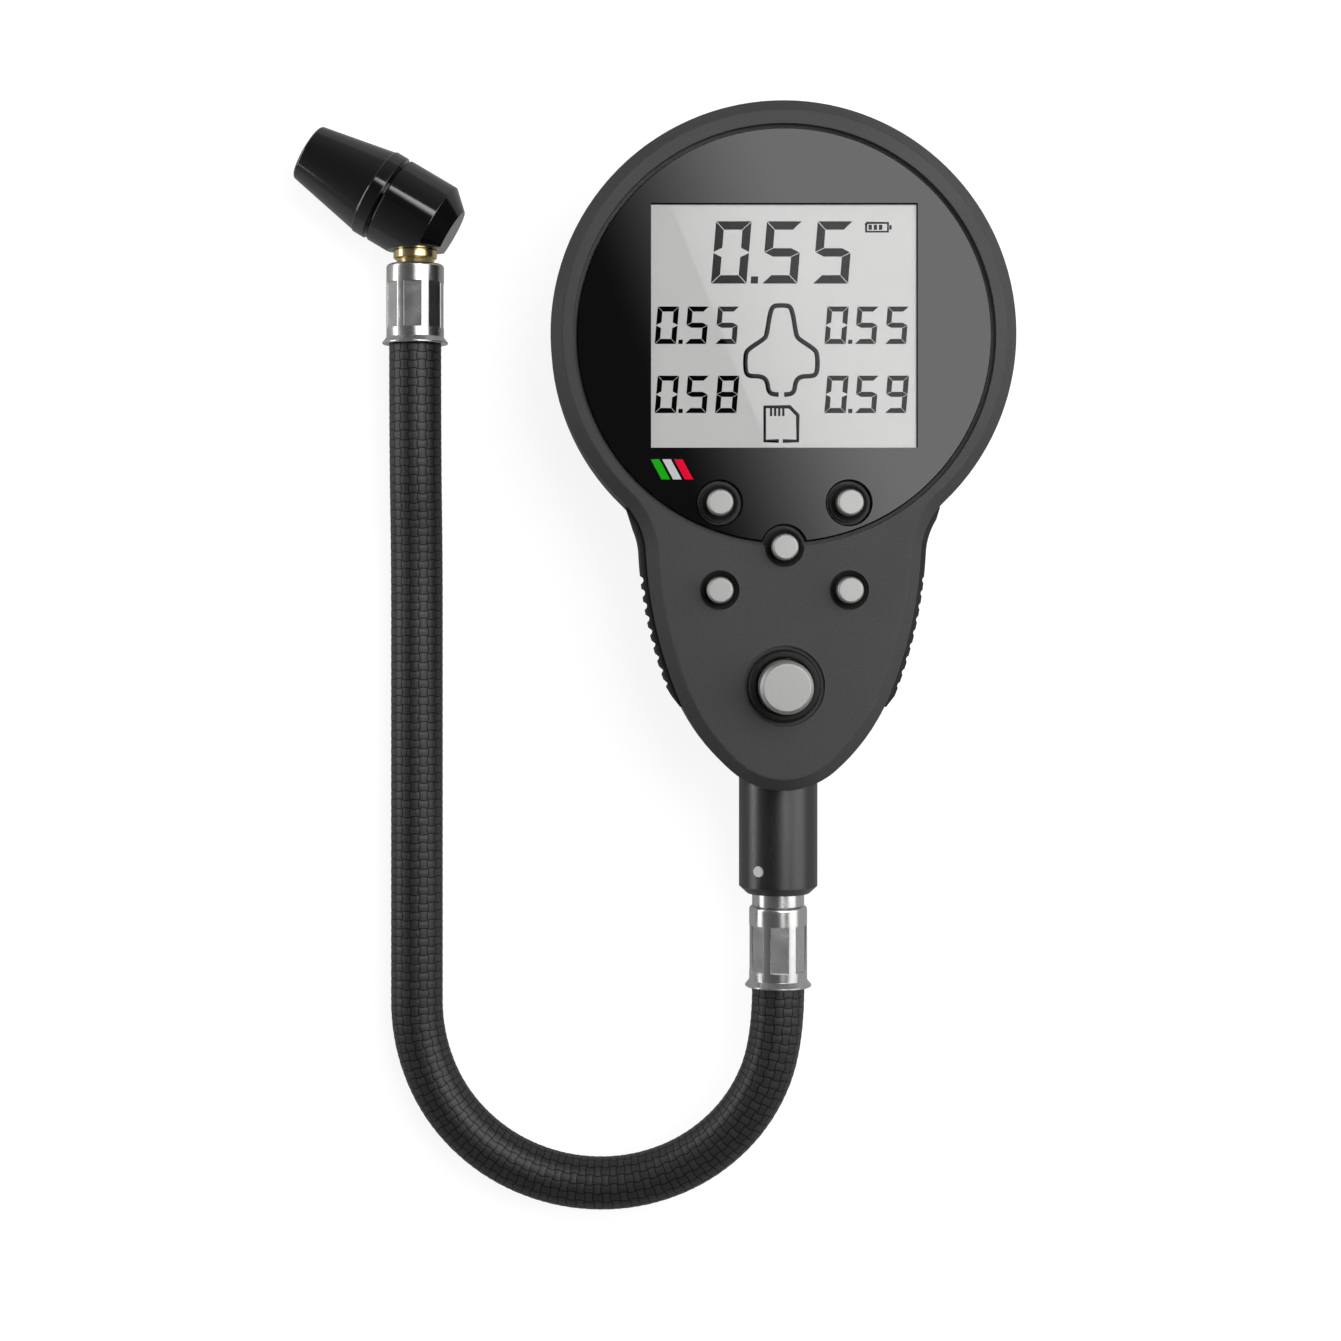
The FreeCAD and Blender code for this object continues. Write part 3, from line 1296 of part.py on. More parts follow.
def make_battery_cover():
    body = new_body("battery_cover")
    sheet = new_sketch(body)
    draw_rounded_box(sheet, "cover_width - 2 * cover_gap", "cover_height - 2 * cover_gap",
                     "cover_corner - cover_gap")
    pad(body, sheet, "cover_thickness")
    holes = new_sketch(body)
    sinks = new_sketch(body)
    for across, along in COVER_SCREWS:
        draw_circle(holes, "cover_screw_radius + fit_clearance", across)
        draw_circle(sinks, "cover_screw_head + fit_clearance", across)
    pocket(body, holes, "cover_thickness", upwards=True)
    pocket(body, sinks, "cover_thickness - 0.6", upwards=True)
    return place(body, along="battery_level")


def make_cover_seal():
    body = new_body("cover_seal")
    sheet = new_sketch(body)
    draw_rounded_box(sheet, "cover_width - 2 * cover_gap", "cover_height - 2 * cover_gap",
                     "cover_corner - cover_gap")
    draw_box(sheet, "tub_width + 0.6", "tub_height + 0.6")
    for across, along in COVER_SCREWS:
        draw_circle(sheet, "cover_screw_radius + fit_clearance", across)
    pad(body, sheet, "cover_seal")
    return place(body, along="battery_level", height="cover_thickness")


# ---------------------------------------------------------------- the whole gauge

def build_gauge():
    keep(make_front_case())
    keep(make_rear_case())
    keep(make_case_gasket())
    keep(make_grip("grip_left", -1))
    keep(make_grip("grip_right", 1))
    keep(make_lens())
    keep(make_lens_bond())
    keep(plate("display_panel", "panel_width", "panel_height", "panel_thickness",
               along="window_level", height="panel_bottom"))
    keep(make_display_frame())
    keep(make_backlight())
    keep(make_contact_strips())
    keep(make_circuit_board())
    keep(plate("main_chip", "chip_width", "chip_width", "chip_height", along="-26",
               height="board_bottom - chip_height"))
    keep(plate("memory_chip", "memory_width", "memory_width - 1", "chip_height", across="12",
               along="-42", height="board_bottom - chip_height"))
    keep(make_push_switches())
    for name, (across, along) in BUTTONS.items():
        keep(make_button(name, across, along))
    keep(make_button_seals())
    keep(make_bleed_button())
    keep(make_bleed_collar())
    keep(make_bleed_stem())
    keep(make_bleed_bush())
    keep(make_bleed_seal())
    keep(make_bleed_spring())
    keep(make_manifold())
    keep(make_screws("manifold_screws", MANIFOLD_SCREWS, "cover_screw_radius",
                     "cover_screw_head", "1", "manifold_height + 1.8", "manifold_roof", "up"))
    keep(make_tube_socket())
    keep(make_retaining_pin())
    keep(make_pressure_sensor())
    keep(make_sensor_pins())
    keep(make_swivel_stem())
    keep(make_stem_seals())
    keep(make_ferrule("lower_ferrule", along=HOSE_START, height="tube_axis",
                      turn="towards_head"))
    keep(make_ferrule("upper_ferrule", across="-leg_offset", along=HOSE_FINISH,
                      height="chuck_level", turn="towards_head"))
    keep(make_hose_ends())
    keep(make_hose())
    keep(make_nipple())
    keep(make_chuck_nose())
    keep(make_chuck_body())
    keep(make_chuck_seal())
    keep(make_depressor())
    keep(make_chuck_sleeve())
    keep(make_batteries())
    keep(make_contacts())
    keep(make_battery_springs())
    keep(make_battery_cover())
    keep(make_cover_seal())
    keep(make_screws("cover_screws", COVER_SCREWS, "cover_screw_radius", "cover_screw_head",
                     "1", "5", "cover_thickness - 0.6", "down"))
    keep(make_screws("case_screws", BOARD_SCREWS + LOW_SCREWS, "screw_radius", "screw_head",
                     "screw_head_height",
                     "board_top + screw_bite - screw_sink - screw_head_height - 0.3",
                     "screw_sink + screw_head_height", "down"))


def check_and_write():
    doc.recompute()
    failed = [item.Label for item in doc.Objects
              if "Invalid" in item.State or "Error" in item.State]
    unsound = [part.Label for part in SUB_PARTS
               if part.Shape.isNull() or not part.Shape.isValid() or not part.Shape.Solids]
    if failed or unsound:
        raise RuntimeError(f"failed objects: {failed}; unsound shapes: {unsound}")
    os.makedirs("parts", exist_ok=True)
    for part in SUB_PARTS:
        part.Shape.exportStep(f"parts/{part.Label}.step")
    print(f"{len(SUB_PARTS)} sub-parts written")


build_gauge()
check_and_write()
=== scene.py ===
"""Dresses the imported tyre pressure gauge: case, display, buttons, hose, fittings and chuck."""
import json
import math

import bmesh
import bpy
from mathutils import Matrix, Vector


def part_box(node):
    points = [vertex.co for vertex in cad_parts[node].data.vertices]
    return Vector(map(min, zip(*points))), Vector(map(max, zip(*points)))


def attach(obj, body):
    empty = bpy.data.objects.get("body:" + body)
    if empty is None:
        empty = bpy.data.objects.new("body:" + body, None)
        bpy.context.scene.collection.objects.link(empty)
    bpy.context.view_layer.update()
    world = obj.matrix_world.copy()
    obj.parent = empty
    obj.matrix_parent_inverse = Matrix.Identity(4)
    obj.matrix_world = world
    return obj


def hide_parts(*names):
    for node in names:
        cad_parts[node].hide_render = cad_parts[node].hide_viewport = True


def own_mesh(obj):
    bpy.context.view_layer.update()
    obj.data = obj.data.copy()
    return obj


bl_info = {
    "name": "Tyre Pressure Gauge",
    "version": (1, 0, 0),
    "blender": (4, 5, 0),
    "location": "View3D > Sidebar > Gauge",
    "description": "Builds the finish, the braided hose and the display of a handheld gauge",
    "category": "Object",
}

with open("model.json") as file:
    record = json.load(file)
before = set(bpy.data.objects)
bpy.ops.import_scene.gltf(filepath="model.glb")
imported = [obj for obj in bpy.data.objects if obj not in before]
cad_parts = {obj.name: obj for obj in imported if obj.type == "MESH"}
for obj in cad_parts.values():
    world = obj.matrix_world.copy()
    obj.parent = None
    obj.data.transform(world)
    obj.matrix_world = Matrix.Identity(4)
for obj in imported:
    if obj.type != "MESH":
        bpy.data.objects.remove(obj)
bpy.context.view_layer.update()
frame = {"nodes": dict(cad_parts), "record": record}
MM = 0.001
WINDOW = (48.6 * MM, 44.6 * MM)  # width and height of the window in the print
WINDOW_LEVEL = 1.15 * MM  # its middle, above the middle of the head
PRINT_DROP = 0.02 * MM  # how far the print is kept below the lens
FACE_LIFT = 0.7 * MM  # a level above the print, between the lens's back and its face
YARNS_ROUND = 18
STEPS_PER_CELL = 5
CELL_SWELL = 0.09  # share of a cell by which it swells and narrows
MERGE_DISTANCE = 1e-6
FLAT_ANGLE = math.radians(1.5)
SHARP_ANGLE = math.radians(24)

BODY_OF = {
    node: body
    for body, nodes in frame["record"]["behaviour"]["bodies"].items()
    for node in nodes
}
SLOT_OF = {row["node"]: row["material_slot"] for row in frame["record"]["subparts"]}


# ---------------------------------------------------------------- sizes and colours

class HoseSettings(bpy.types.PropertyGroup):
    diameter: bpy.props.FloatProperty(
        name="Diameter", description="Outer diameter of the braided hose",
        default=0.010, min=0.004, unit="LENGTH")
    length: bpy.props.FloatProperty(
        name="Length", description="Length of the hose between its two ferrules",
        default=0.240, min=0.05, unit="LENGTH")
    cell: bpy.props.FloatProperty(
        name="Braid cell", description="Length of one crossing of the braid",
        default=0.00165, min=0.0005, unit="LENGTH")
    relief: bpy.props.FloatProperty(
        name="Relief", description="How far the yarns stand out of the gaps between them",
        default=0.00012, min=0.0, unit="LENGTH")
    yarn: bpy.props.StringProperty(
        name="Yarn", description="Colour of the braid yarns, sRGB hex", default="#2a2a2b")


class DisplaySettings(bpy.types.PropertyGroup):
    reading: bpy.props.StringProperty(
        name="Reading", description="Large number at the top of the display", default="0.55")
    corners: bpy.props.StringProperty(
        name="Wheel readings", description="Four small numbers, row by row",
        default="0.55 0.55 0.58 0.59")
    large_height: bpy.props.FloatProperty(
        name="Large digits", description="Height of the large digits",
        default=0.0114, min=0.002, unit="LENGTH")
    small_height: bpy.props.FloatProperty(
        name="Small digits", description="Height of the small digits",
        default=0.00685, min=0.002, unit="LENGTH")
    glass: bpy.props.StringProperty(
        name="Glass", description="Colour of the clear display, sRGB hex", default="#a6a6a5")
    ink: bpy.props.StringProperty(
        name="Segments", description="Colour of a dark segment, sRGB hex", default="#080808")


class FinishSettings(bpy.types.PropertyGroup):
    case: bpy.props.StringProperty(
        name="Case", description="Colour of the moulded case, sRGB hex", default="#454545")
    rubber: bpy.props.StringProperty(
        name="Rubber", description="Colour of the grips and seals, sRGB hex", default="#2c2c2c")
    anodised: bpy.props.StringProperty(
        name="Anodised", description="Colour of the black metal, sRGB hex", default="#090909")
    button: bpy.props.StringProperty(
        name="Buttons", description="Colour of the blasted buttons, sRGB hex", default="#b4b4b2")
    brass: bpy.props.StringProperty(
        name="Brass", description="Colour of the nipple, sRGB hex", default="#e0cc96")


class StageSettings(bpy.types.PropertyGroup):
    camera_height: bpy.props.FloatProperty(
        name="Camera height", description="Height of the camera over the floor",
        default=0.4598, min=0.2, unit="LENGTH")
    lens: bpy.props.FloatProperty(
        name="Lens", description="Focal length in millimetres on a 36 mm sensor",
        default=63.2, min=20)
    glare: bpy.props.FloatProperty(
        name="Glare", description="Strength of the card that the lens reflects",
        default=3.8, min=0)
    world: bpy.props.FloatProperty(
        name="World", description="Strength of the grey light near the horizon",
        default=0.26, min=0)


SETTINGS = {
    "gauge_hose": HoseSettings,
    "gauge_display": DisplaySettings,
    "gauge_finish": FinishSettings,
    "gauge_stage": StageSettings,
}


# ---------------------------------------------------------------- material helpers

def tone(code):
    """The linear RGBA of an sRGB hex colour."""
    channels = [int(code[i:i + 2], 16) / 255 for i in (1, 3, 5)]
    linear = [c / 12.92 if c <= 0.04045 else ((c + 0.055) / 1.055) ** 2.4 for c in channels]
    return (*linear, 1.0)


def add(tree, kind, inputs=None, **settings):
    """Adds a node; an input is either a value or another node's output socket."""
    node = tree.nodes.new(kind)
    for name, setting in settings.items():
        setattr(node, name, setting)
    for socket, given in (inputs or {}).items():
        if isinstance(given, bpy.types.NodeSocket):
            tree.links.new(given, node.inputs[socket])
        else:
            node.inputs[socket].default_value = given
    return node


def surface(name, **inputs):
    """A material with one Principled shader; returns the material, its tree and the shader."""
    material = bpy.data.materials.new(name)
    material.use_nodes = True
    tree = material.node_tree
    tree.nodes.clear()
    shader = add(tree, "ShaderNodeBsdfPrincipled",
                 {socket.replace("_", " "): given for socket, given in inputs.items()})
    output = add(tree, "ShaderNodeOutputMaterial")
    tree.links.new(shader.outputs["BSDF"], output.inputs["Surface"])
    return material, tree, shader


def object_position(tree, scale=(1, 1, 1)):
    """Object coordinates, stretched by a Mapping node."""
    source = add(tree, "ShaderNodeTexCoord")
    mapping = add(tree, "ShaderNodeMapping", {"Vector": source.outputs["Object"], "Scale": scale})
    return mapping.outputs["Vector"]


def grain(tree, size, scale=(1, 1, 1), detail=2.0):
    """Noise whose grains are about as wide as the size given in metres."""
    return add(tree, "ShaderNodeTexNoise",
               {"Vector": object_position(tree, scale), "Scale": 0.5 / size, "Detail": detail}
               ).outputs["Fac"]


def spread(tree, factor, low, high):
    """Maps the middle of a noise's range to low..high."""
    return add(tree, "ShaderNodeMapRange",
               {"Value": factor, "From Min": 0.3, "From Max": 0.7, "To Min": low, "To Max": high}
               ).outputs["Result"]


def vary_colour(tree, shader, factor, code, darkest, lightest):
    """Colours a surface with shades of one colour, as a factor goes from 0 to 1."""
    mix = add(tree, "ShaderNodeMix", {"Factor": factor, "A": shade_of(code, darkest),
                                      "B": shade_of(code, lightest)}, data_type="RGBA")
    tree.links.new(mix.outputs["Result"], shader.inputs["Base Color"])
    return mix.outputs["Result"]


def raise_surface(tree, shader, height, depth, strength=1.0):
    """Bump from a height factor, where depth is in metres."""
    bump = add(tree, "ShaderNodeBump",
               {"Height": height, "Distance": depth, "Strength": strength})
    tree.links.new(bump.outputs["Normal"], shader.inputs["Normal"])


def shade_of(code, factor):
    """A lighter or darker version of a colour, for the ends of a fine variation."""
    return (*[channel * factor for channel in tone(code)[:3]], 1.0)


# ---------------------------------------------------------------- materials

def moulded_abs(code):
    """ABS from a spark-eroded mould: matt, with a fine even grain that catches light."""
    material, tree, shader = surface("moulded_abs", Roughness=0.5, IOR=1.5,
                                     Specular_IOR_Level=0.25)
    speckle = grain(tree, 0.16 * MM, detail=3.0)
    vary_colour(tree, shader, spread(tree, speckle, 0, 1), code, 0.86, 1.12)
    rough = spread(tree, grain(tree, 9 * MM), 0.46, 0.58)
    tree.links.new(rough, shader.inputs["Roughness"])
    raise_surface(tree, shader, speckle, 0.03 * MM, 0.55)
    return material


def moulded_rubber(code, name="moulded_rubber", roughness=0.72):
    """Soft black rubber: dull, slightly uneven, no clear highlight."""
    material, tree, shader = surface(name, Roughness=roughness, IOR=1.5,
                                     Specular_IOR_Level=0.25)
    speckle = grain(tree, 0.3 * MM)
    vary_colour(tree, shader, speckle, code, 0.8, 1.2)
    raise_surface(tree, shader, speckle, 0.02 * MM, 0.4)
    return material


def clear_acrylic(middle, half, face_level):
    """Polished acrylic, black wherever its back is printed and clear over the window."""
    material, tree, shader = surface("clear_acrylic", Base_Color=tone("#0b0b0b"),
                                     Roughness=0.01, IOR=1.49)
    place = add(tree, "ShaderNodeVectorMath",
                {0: add(tree, "ShaderNodeTexCoord").outputs["Object"], 1: middle},
                operation="SUBTRACT").outputs["Vector"]
    normal = add(tree, "ShaderNodeNewGeometry").outputs["True Normal"]
    reach, facing = [
        add(tree, "ShaderNodeSeparateXYZ",
            {"Vector": add(tree, "ShaderNodeVectorMath", {0: vector},
                           operation="ABSOLUTE").outputs["Vector"]})
        for vector in (place, normal)]
    beside_x, beside_y, upper, upright = [
        add(tree, "ShaderNodeMath", {0: value, 1: limit}, operation="GREATER_THAN").outputs[0]
        for value, limit in ((reach.outputs["X"], half.x), (reach.outputs["Y"], half.y),
                             (reach.outputs["Z"], face_level), (facing.outputs["Z"], 0.9))]
    beside = add(tree, "ShaderNodeMath", {0: beside_x, 1: beside_y}, operation="MAXIMUM")
    raised = add(tree, "ShaderNodeMath", {0: upper, 1: upright}, operation="MULTIPLY")
    glossy = add(tree, "ShaderNodeMath", {0: beside.outputs[0], 1: raised.outputs[0]},
                 operation="MULTIPLY")
    path = add(tree, "ShaderNodeLightPath")
    passing = add(tree, "ShaderNodeMath", {0: path.outputs["Is Shadow Ray"],
                                           1: path.outputs["Is Diffuse Ray"]},
                  operation="MAXIMUM")
    window = add(tree, "ShaderNodeMath", {0: 1.0, 1: glossy.outputs[0]}, operation="SUBTRACT")
    clear = add(tree, "ShaderNodeMath", {0: passing.outputs[0], 1: window.outputs[0]},
                operation="MAXIMUM")
    open_way = add(tree, "ShaderNodeBsdfTransparent")
    mix = add(tree, "ShaderNodeMixShader", {"Fac": clear.outputs[0], 1: shader.outputs["BSDF"],
                                            2: open_way.outputs["BSDF"]})
    output = tree.nodes["Material Output"]
    tree.links.new(mix.outputs["Shader"], output.inputs["Surface"])
    return material

def printed_black():
    """Screen-printed black behind the lens: even, with a trace of ink mottle."""
    material, tree, shader = surface("printed_black", Roughness=0.6, Specular_IOR_Level=0.0)
    vary_colour(tree, shader, grain(tree, 1.2 * MM), "#0b0b0b", 1.0, 1.31)
    return material


def display_glass_painted_glow(code):
    """Liquid crystal glass over a silver reflector: even grey with a very fine pearl, and a
    painted glow that brightens the grey as if more light fell on it.
    """
    # The emission is painted light: the display glows faintly though it has no lamp.
    material, tree, shader = surface("display_glass_painted_glow", Roughness=0.02, IOR=1.5,
                                     Emission_Color=tone("#c2c2c1"), Emission_Strength=0.34)
    pearl = grain(tree, 0.12 * MM)
    vary_colour(tree, shader, pearl, code, 0.985, 1.015)
    return material


def display_ink(code):
    """Dark liquid crystal segments: near black under the same polished glass."""
    material, tree, shader = surface("display_ink", Roughness=0.02, IOR=1.5,
                                     Specular_IOR_Level=0.22)
    vary_colour(tree, shader, grain(tree, 0.4 * MM), code, 0.9, 1.1)
    return material


def stripe_ink(name, code):
    """Screen-printed ink on the lens: flat colour with faint mottle."""
    material, tree, shader = surface(name, Roughness=0.5, Specular_IOR_Level=0.0)
    vary_colour(tree, shader, grain(tree, 0.5 * MM), code, 0.93, 1.05)
    return material


def blasted_cap(code):
    """Bead-blasted aluminium caps: satin, with a fine even grain."""
    material, tree, shader = surface("blasted_cap", Metallic=1.0, Roughness=0.55)
    speckle = grain(tree, 0.14 * MM, detail=3.0)
    vary_colour(tree, shader, spread(tree, speckle, 0, 1), code, 0.9, 1.08)
    tree.links.new(spread(tree, speckle, 0.5, 0.62), shader.inputs["Roughness"])
    raise_surface(tree, shader, speckle, 0.01 * MM, 0.3)
    return material


def anodised_black(code, name, roughness):
    """Black anodised aluminium: a dark dyed oxide with a clear edge to its highlights."""
    material, tree, shader = surface(name, IOR=1.8, Roughness=roughness)
    speckle = grain(tree, 0.25 * MM, detail=3.0)
    vary_colour(tree, shader, speckle, code, 0.8, 1.25)
    rough = spread(tree, speckle, roughness * 0.85, roughness * 1.2)
    tree.links.new(rough, shader.inputs["Roughness"])
    raise_surface(tree, shader, speckle, 0.004 * MM, 0.3)
    return material


def plated_chrome():
    """Satin plating on pressed steel: soft reflections, with a faint orange peel."""
    material, tree, shader = surface("plated_chrome", Base_Color=tone("#cfcfce"), Metallic=1.0)
    peel = grain(tree, 1.2 * MM)
    tree.links.new(spread(tree, peel, 0.22, 0.28), shader.inputs["Roughness"])
    raise_surface(tree, shader, peel, 0.02 * MM, 0.12)
    return material


def turned_metal(name, code, roughness=0.24):
    """Bare turned metal: fine tool marks round the piece, drawn coarse enough to show."""
    material, tree, shader = surface(name, Metallic=1.0, Roughness=roughness)
    marks = grain(tree, 0.09 * MM, scale=(0.2, 1, 0.2))
    vary_colour(tree, shader, marks, code, 0.9, 1.1)
    tree.links.new(spread(tree, marks, roughness * 0.8, roughness * 1.3),
                   shader.inputs["Roughness"])
    raise_surface(tree, shader, marks, 0.006 * MM, 0.3)
    return material


def plain_inner(name, code, roughness, size=0.5 * MM, metallic=0.0):
    """Inner pieces: one colour with a fine mottle of their own surface."""
    material, tree, shader = surface(name, Roughness=roughness, Metallic=metallic)
    mottle = grain(tree, size)
    vary_colour(tree, shader, mottle, code, 0.88, 1.12)
    raise_surface(tree, shader, mottle, 0.01 * MM, 0.2)
    return material


def swollen_cells(tree, grid, amount):
    """Bends a square grid so that neighbouring cells swell and narrow in turn, as in a weave."""
    place = add(tree, "ShaderNodeSeparateXYZ", {"Vector": grid})

    def wave(axis, operation):
        angle = add(tree, "ShaderNodeMath", {0: place.outputs[axis], 1: math.pi},
                    operation="MULTIPLY").outputs[0]
        return add(tree, "ShaderNodeMath", {0: angle}, operation=operation).outputs[0]

    def bent(axis, other, sign):
        swell = add(tree, "ShaderNodeMath", {0: wave(axis, "COSINE"), 1: wave(other, "SINE")},
                    operation="MULTIPLY").outputs[0]
        return add(tree, "ShaderNodeMath", {0: swell, 1: sign * amount, 2: place.outputs[axis]},
                   operation="MULTIPLY_ADD").outputs[0]

    return add(tree, "ShaderNodeCombineXYZ",
               {"X": bent("X", "Y", 1), "Y": bent("Y", "X", -1)}).outputs["Vector"]


def braided_yarn(code, cells_along, cells_round):
    """Polyester braid: dark yarn cells of uneven tone, with fine fibres, painted shade in the
    gaps between the yarns and a painted sheen that makes the crosswise cells lighter.
    """
    material, tree, shader = surface("braided_yarn", Roughness=0.45, IOR=1.5)
    source = add(tree, "ShaderNodeUVMap", uv_map="UVMap")
    grid = add(tree, "ShaderNodeVectorMath",
               {0: source.outputs["UV"], 1: (cells_along, cells_round, 1)},
               operation="MULTIPLY").outputs["Vector"]
    cells = swollen_cells(tree, grid, CELL_SWELL)
    cell = add(tree, "ShaderNodeVectorMath", {0: cells}, operation="FLOOR").outputs["Vector"]
    shade = add(tree, "ShaderNodeTexWhiteNoise", {"Vector": cell}).outputs["Value"]
    within = add(tree, "ShaderNodeVectorMath", {0: cells}, operation="FRACTION").outputs["Vector"]
    corner = add(tree, "ShaderNodeVectorMath", {0: within, 1: (0.5, 0.5, 0)},
                 operation="SUBTRACT").outputs["Vector"]
    sides = add(tree, "ShaderNodeSeparateXYZ",
                {"Vector": add(tree, "ShaderNodeVectorMath", {0: corner},
                               operation="ABSOLUTE").outputs["Vector"]})
    rim = add(tree, "ShaderNodeMath", {0: sides.outputs["X"], 1: sides.outputs["Y"]},
              operation="MAXIMUM").outputs[0]
    # gap is 1 on a yarn and falls to 0.22 at its rim: it is painted shade in the gaps between the
    # yarns.
    gap = add(tree, "ShaderNodeMapRange",
              {"Value": rim, "From Min": 0.38, "From Max": 0.5, "To Min": 1.0, "To Max": 0.22},
              interpolation_type="SMOOTHSTEP").outputs["Result"]
    # The checker makes every second cell, the crosswise yarns, lighter: a painted sheen. The
    # white noise adds the yarns' own uneven tone.
    crossing = add(tree, "ShaderNodeTexChecker", {"Vector": cells, "Scale": 1.0})
    crosswise_sheen = add(tree, "ShaderNodeMath", {0: crossing.outputs["Fac"], 1: 0.35, 2: 0.15},
               operation="MULTIPLY_ADD")
    uneven = add(tree, "ShaderNodeMath", {0: shade, 1: 0.3, 2: crosswise_sheen.outputs[0]},
                 operation="MULTIPLY_ADD").outputs[0]
    yarn = vary_colour(tree, shader, uneven, code, 0.72, 1.35)
    # Painted shade: the base colour is darkened in the gaps.
    dark = add(tree, "ShaderNodeMix", {"Factor": 1.0, "A": yarn, "B": gap}, data_type="RGBA",
               blend_type="MULTIPLY")
    tree.links.new(dark.outputs["Result"], shader.inputs["Base Color"])
    # The gaps also lose most of their specular, so the painted shade there stays dark.
    shine = add(tree, "ShaderNodeMath", {0: gap, 1: 0.55}, operation="MULTIPLY")
    tree.links.new(shine.outputs[0], shader.inputs["Specular IOR Level"])
    fibres = add(tree, "ShaderNodeTexNoise",
                 {"Vector": cells, "Scale": 6.0, "Detail": 3.0}).outputs["Fac"]
    raise_surface(tree, shader, fibres, 0.05 * MM, 0.5)
    return material


MATERIALS = {}


def make_materials(scene):
    """Every finish of the gauge, by the record's slot or by a piece's own name."""
    finish = scene.gauge_finish
    print_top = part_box("lens_bond")[1].z
    MATERIALS.update({
        "case_plastic": moulded_abs(finish.case),
        "grip_rubber": moulded_rubber(finish.rubber),
        "lens_glass": clear_acrylic(Vector((0, WINDOW_LEVEL, 0)), Vector((*WINDOW, 0)) / 2,
                                    print_top + FACE_LIFT),
        "lens_black": printed_black(),
        "display": display_glass_painted_glow(scene.gauge_display.glass),
        "display_ink": display_ink(scene.gauge_display.ink),
        "inner_plastic": plain_inner("white_moulding", "#bdbdb8", 0.5),
        "board": plain_inner("solder_mask", "#1f5c38", 0.35),
        "chip": plain_inner("moulded_epoxy", "#1c1c1d", 0.55, 0.2 * MM),
        "button_metal": blasted_cap(finish.button),
        "black_metal": anodised_black(finish.anodised, "anodised_satin", 0.36),
        "chuck_metal": anodised_black("#060606", "anodised_gloss", 0.09),
        "chrome": plated_chrome(),
        "steel": turned_metal("bright_steel", "#b9b9b6"),
        "brass": turned_metal("turned_brass", finish.brass, 0.2),
        "aluminium": turned_metal("milled_aluminium", "#c3c4c4", 0.35),
        "hose_braid": moulded_rubber("#1a1a1a", "hose_rubber"),
        "battery": plain_inner("battery_wrap", "#2d3138", 0.35, 2 * MM),
        "collar_rubber": moulded_rubber("#1c1c1c", "collar_rubber", 0.5),
        "pin_steel": plain_inner("pin_steel", "#d0d0cf", 0.5, 2 * MM, metallic=1.0),
    })


def dress(piece, material):
    """Gives a piece one material, and returns the piece."""
    piece.data.materials.clear()
    piece.data.materials.append(material)
    return piece


# ---------------------------------------------------------------- piece helpers

def object_from(name, shape):
    """A new object in the scene from a bmesh."""
    mesh = bpy.data.meshes.new(name)
    shape.to_mesh(mesh)
    shape.free()
    made = bpy.data.objects.new(name, mesh)
    bpy.context.scene.collection.objects.link(made)
    return made

def piece_from(name, shape, body, material, smooth=True):
    """A new piece from a bmesh, riding on a body and finish."""
    for face in shape.faces:
        face.smooth = smooth
    piece = object_from(name, shape)
    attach(piece, body)
    return dress(piece, material)


def copy_of(node):
    """A CAD node's mesh as a bmesh, with its doubled vertices merged."""
    shape = bmesh.new()
    shape.from_mesh(frame["nodes"][node].data)
    bmesh.ops.remove_doubles(shape, verts=shape.verts, dist=MERGE_DISTANCE)
    return shape

def softened(node, width, material=None):
    """A copy of a CAD node with its sharp edges rounded, which stands for the node."""
    shape = copy_of(node)
    bmesh.ops.dissolve_limit(shape, angle_limit=FLAT_ANGLE, verts=shape.verts,
                             edges=shape.edges)
    corners = [edge for edge in shape.edges
               if len(edge.link_faces) == 2 and edge.calc_face_angle(0) > SHARP_ANGLE]
    bmesh.ops.bevel(shape, geom=corners, offset=width, offset_type="OFFSET", affect="EDGES",
                    segments=3, profile=0.5, clamp_overlap=True, material=-1)
    piece = piece_from(f"{node}_finished", shape, BODY_OF[node],
                       material or MATERIALS[SLOT_OF[node]])
    normals = piece.modifiers.new("even_normals", "WEIGHTED_NORMAL")
    normals.keep_sharp = True
    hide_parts(node)
    return piece


# ---------------------------------------------------------------- stage

CAMERA_PLACE = (-27.97 * MM, -46 * MM)
CAMERA_SHIFT = (0.0295, -0.0645)
FLOOR_DROP = 0.2 * MM
FLOOR_GLOW = 0.88  # what the camera sees
FLOOR_MIRRORED = 0.22  # share of the glow that polished pieces reflect
OVERHEAD_SHARE = 0.3  # the world's light overhead, as a share of that near the horizon


def look_straight_down(scene):
    """The camera looks straight down at the face; its shift only frames the hose."""
    settings = scene.gauge_stage
    data = bpy.data.cameras.new("camera")
    data.sensor_width = 36
    data.lens = settings.lens
    data.shift_x, data.shift_y = CAMERA_SHIFT
    data.clip_start = 0.01
    camera = bpy.data.objects.new("camera", data)
    camera.location = (*CAMERA_PLACE, settings.camera_height)
    scene.collection.objects.link(camera)
    scene.camera = camera


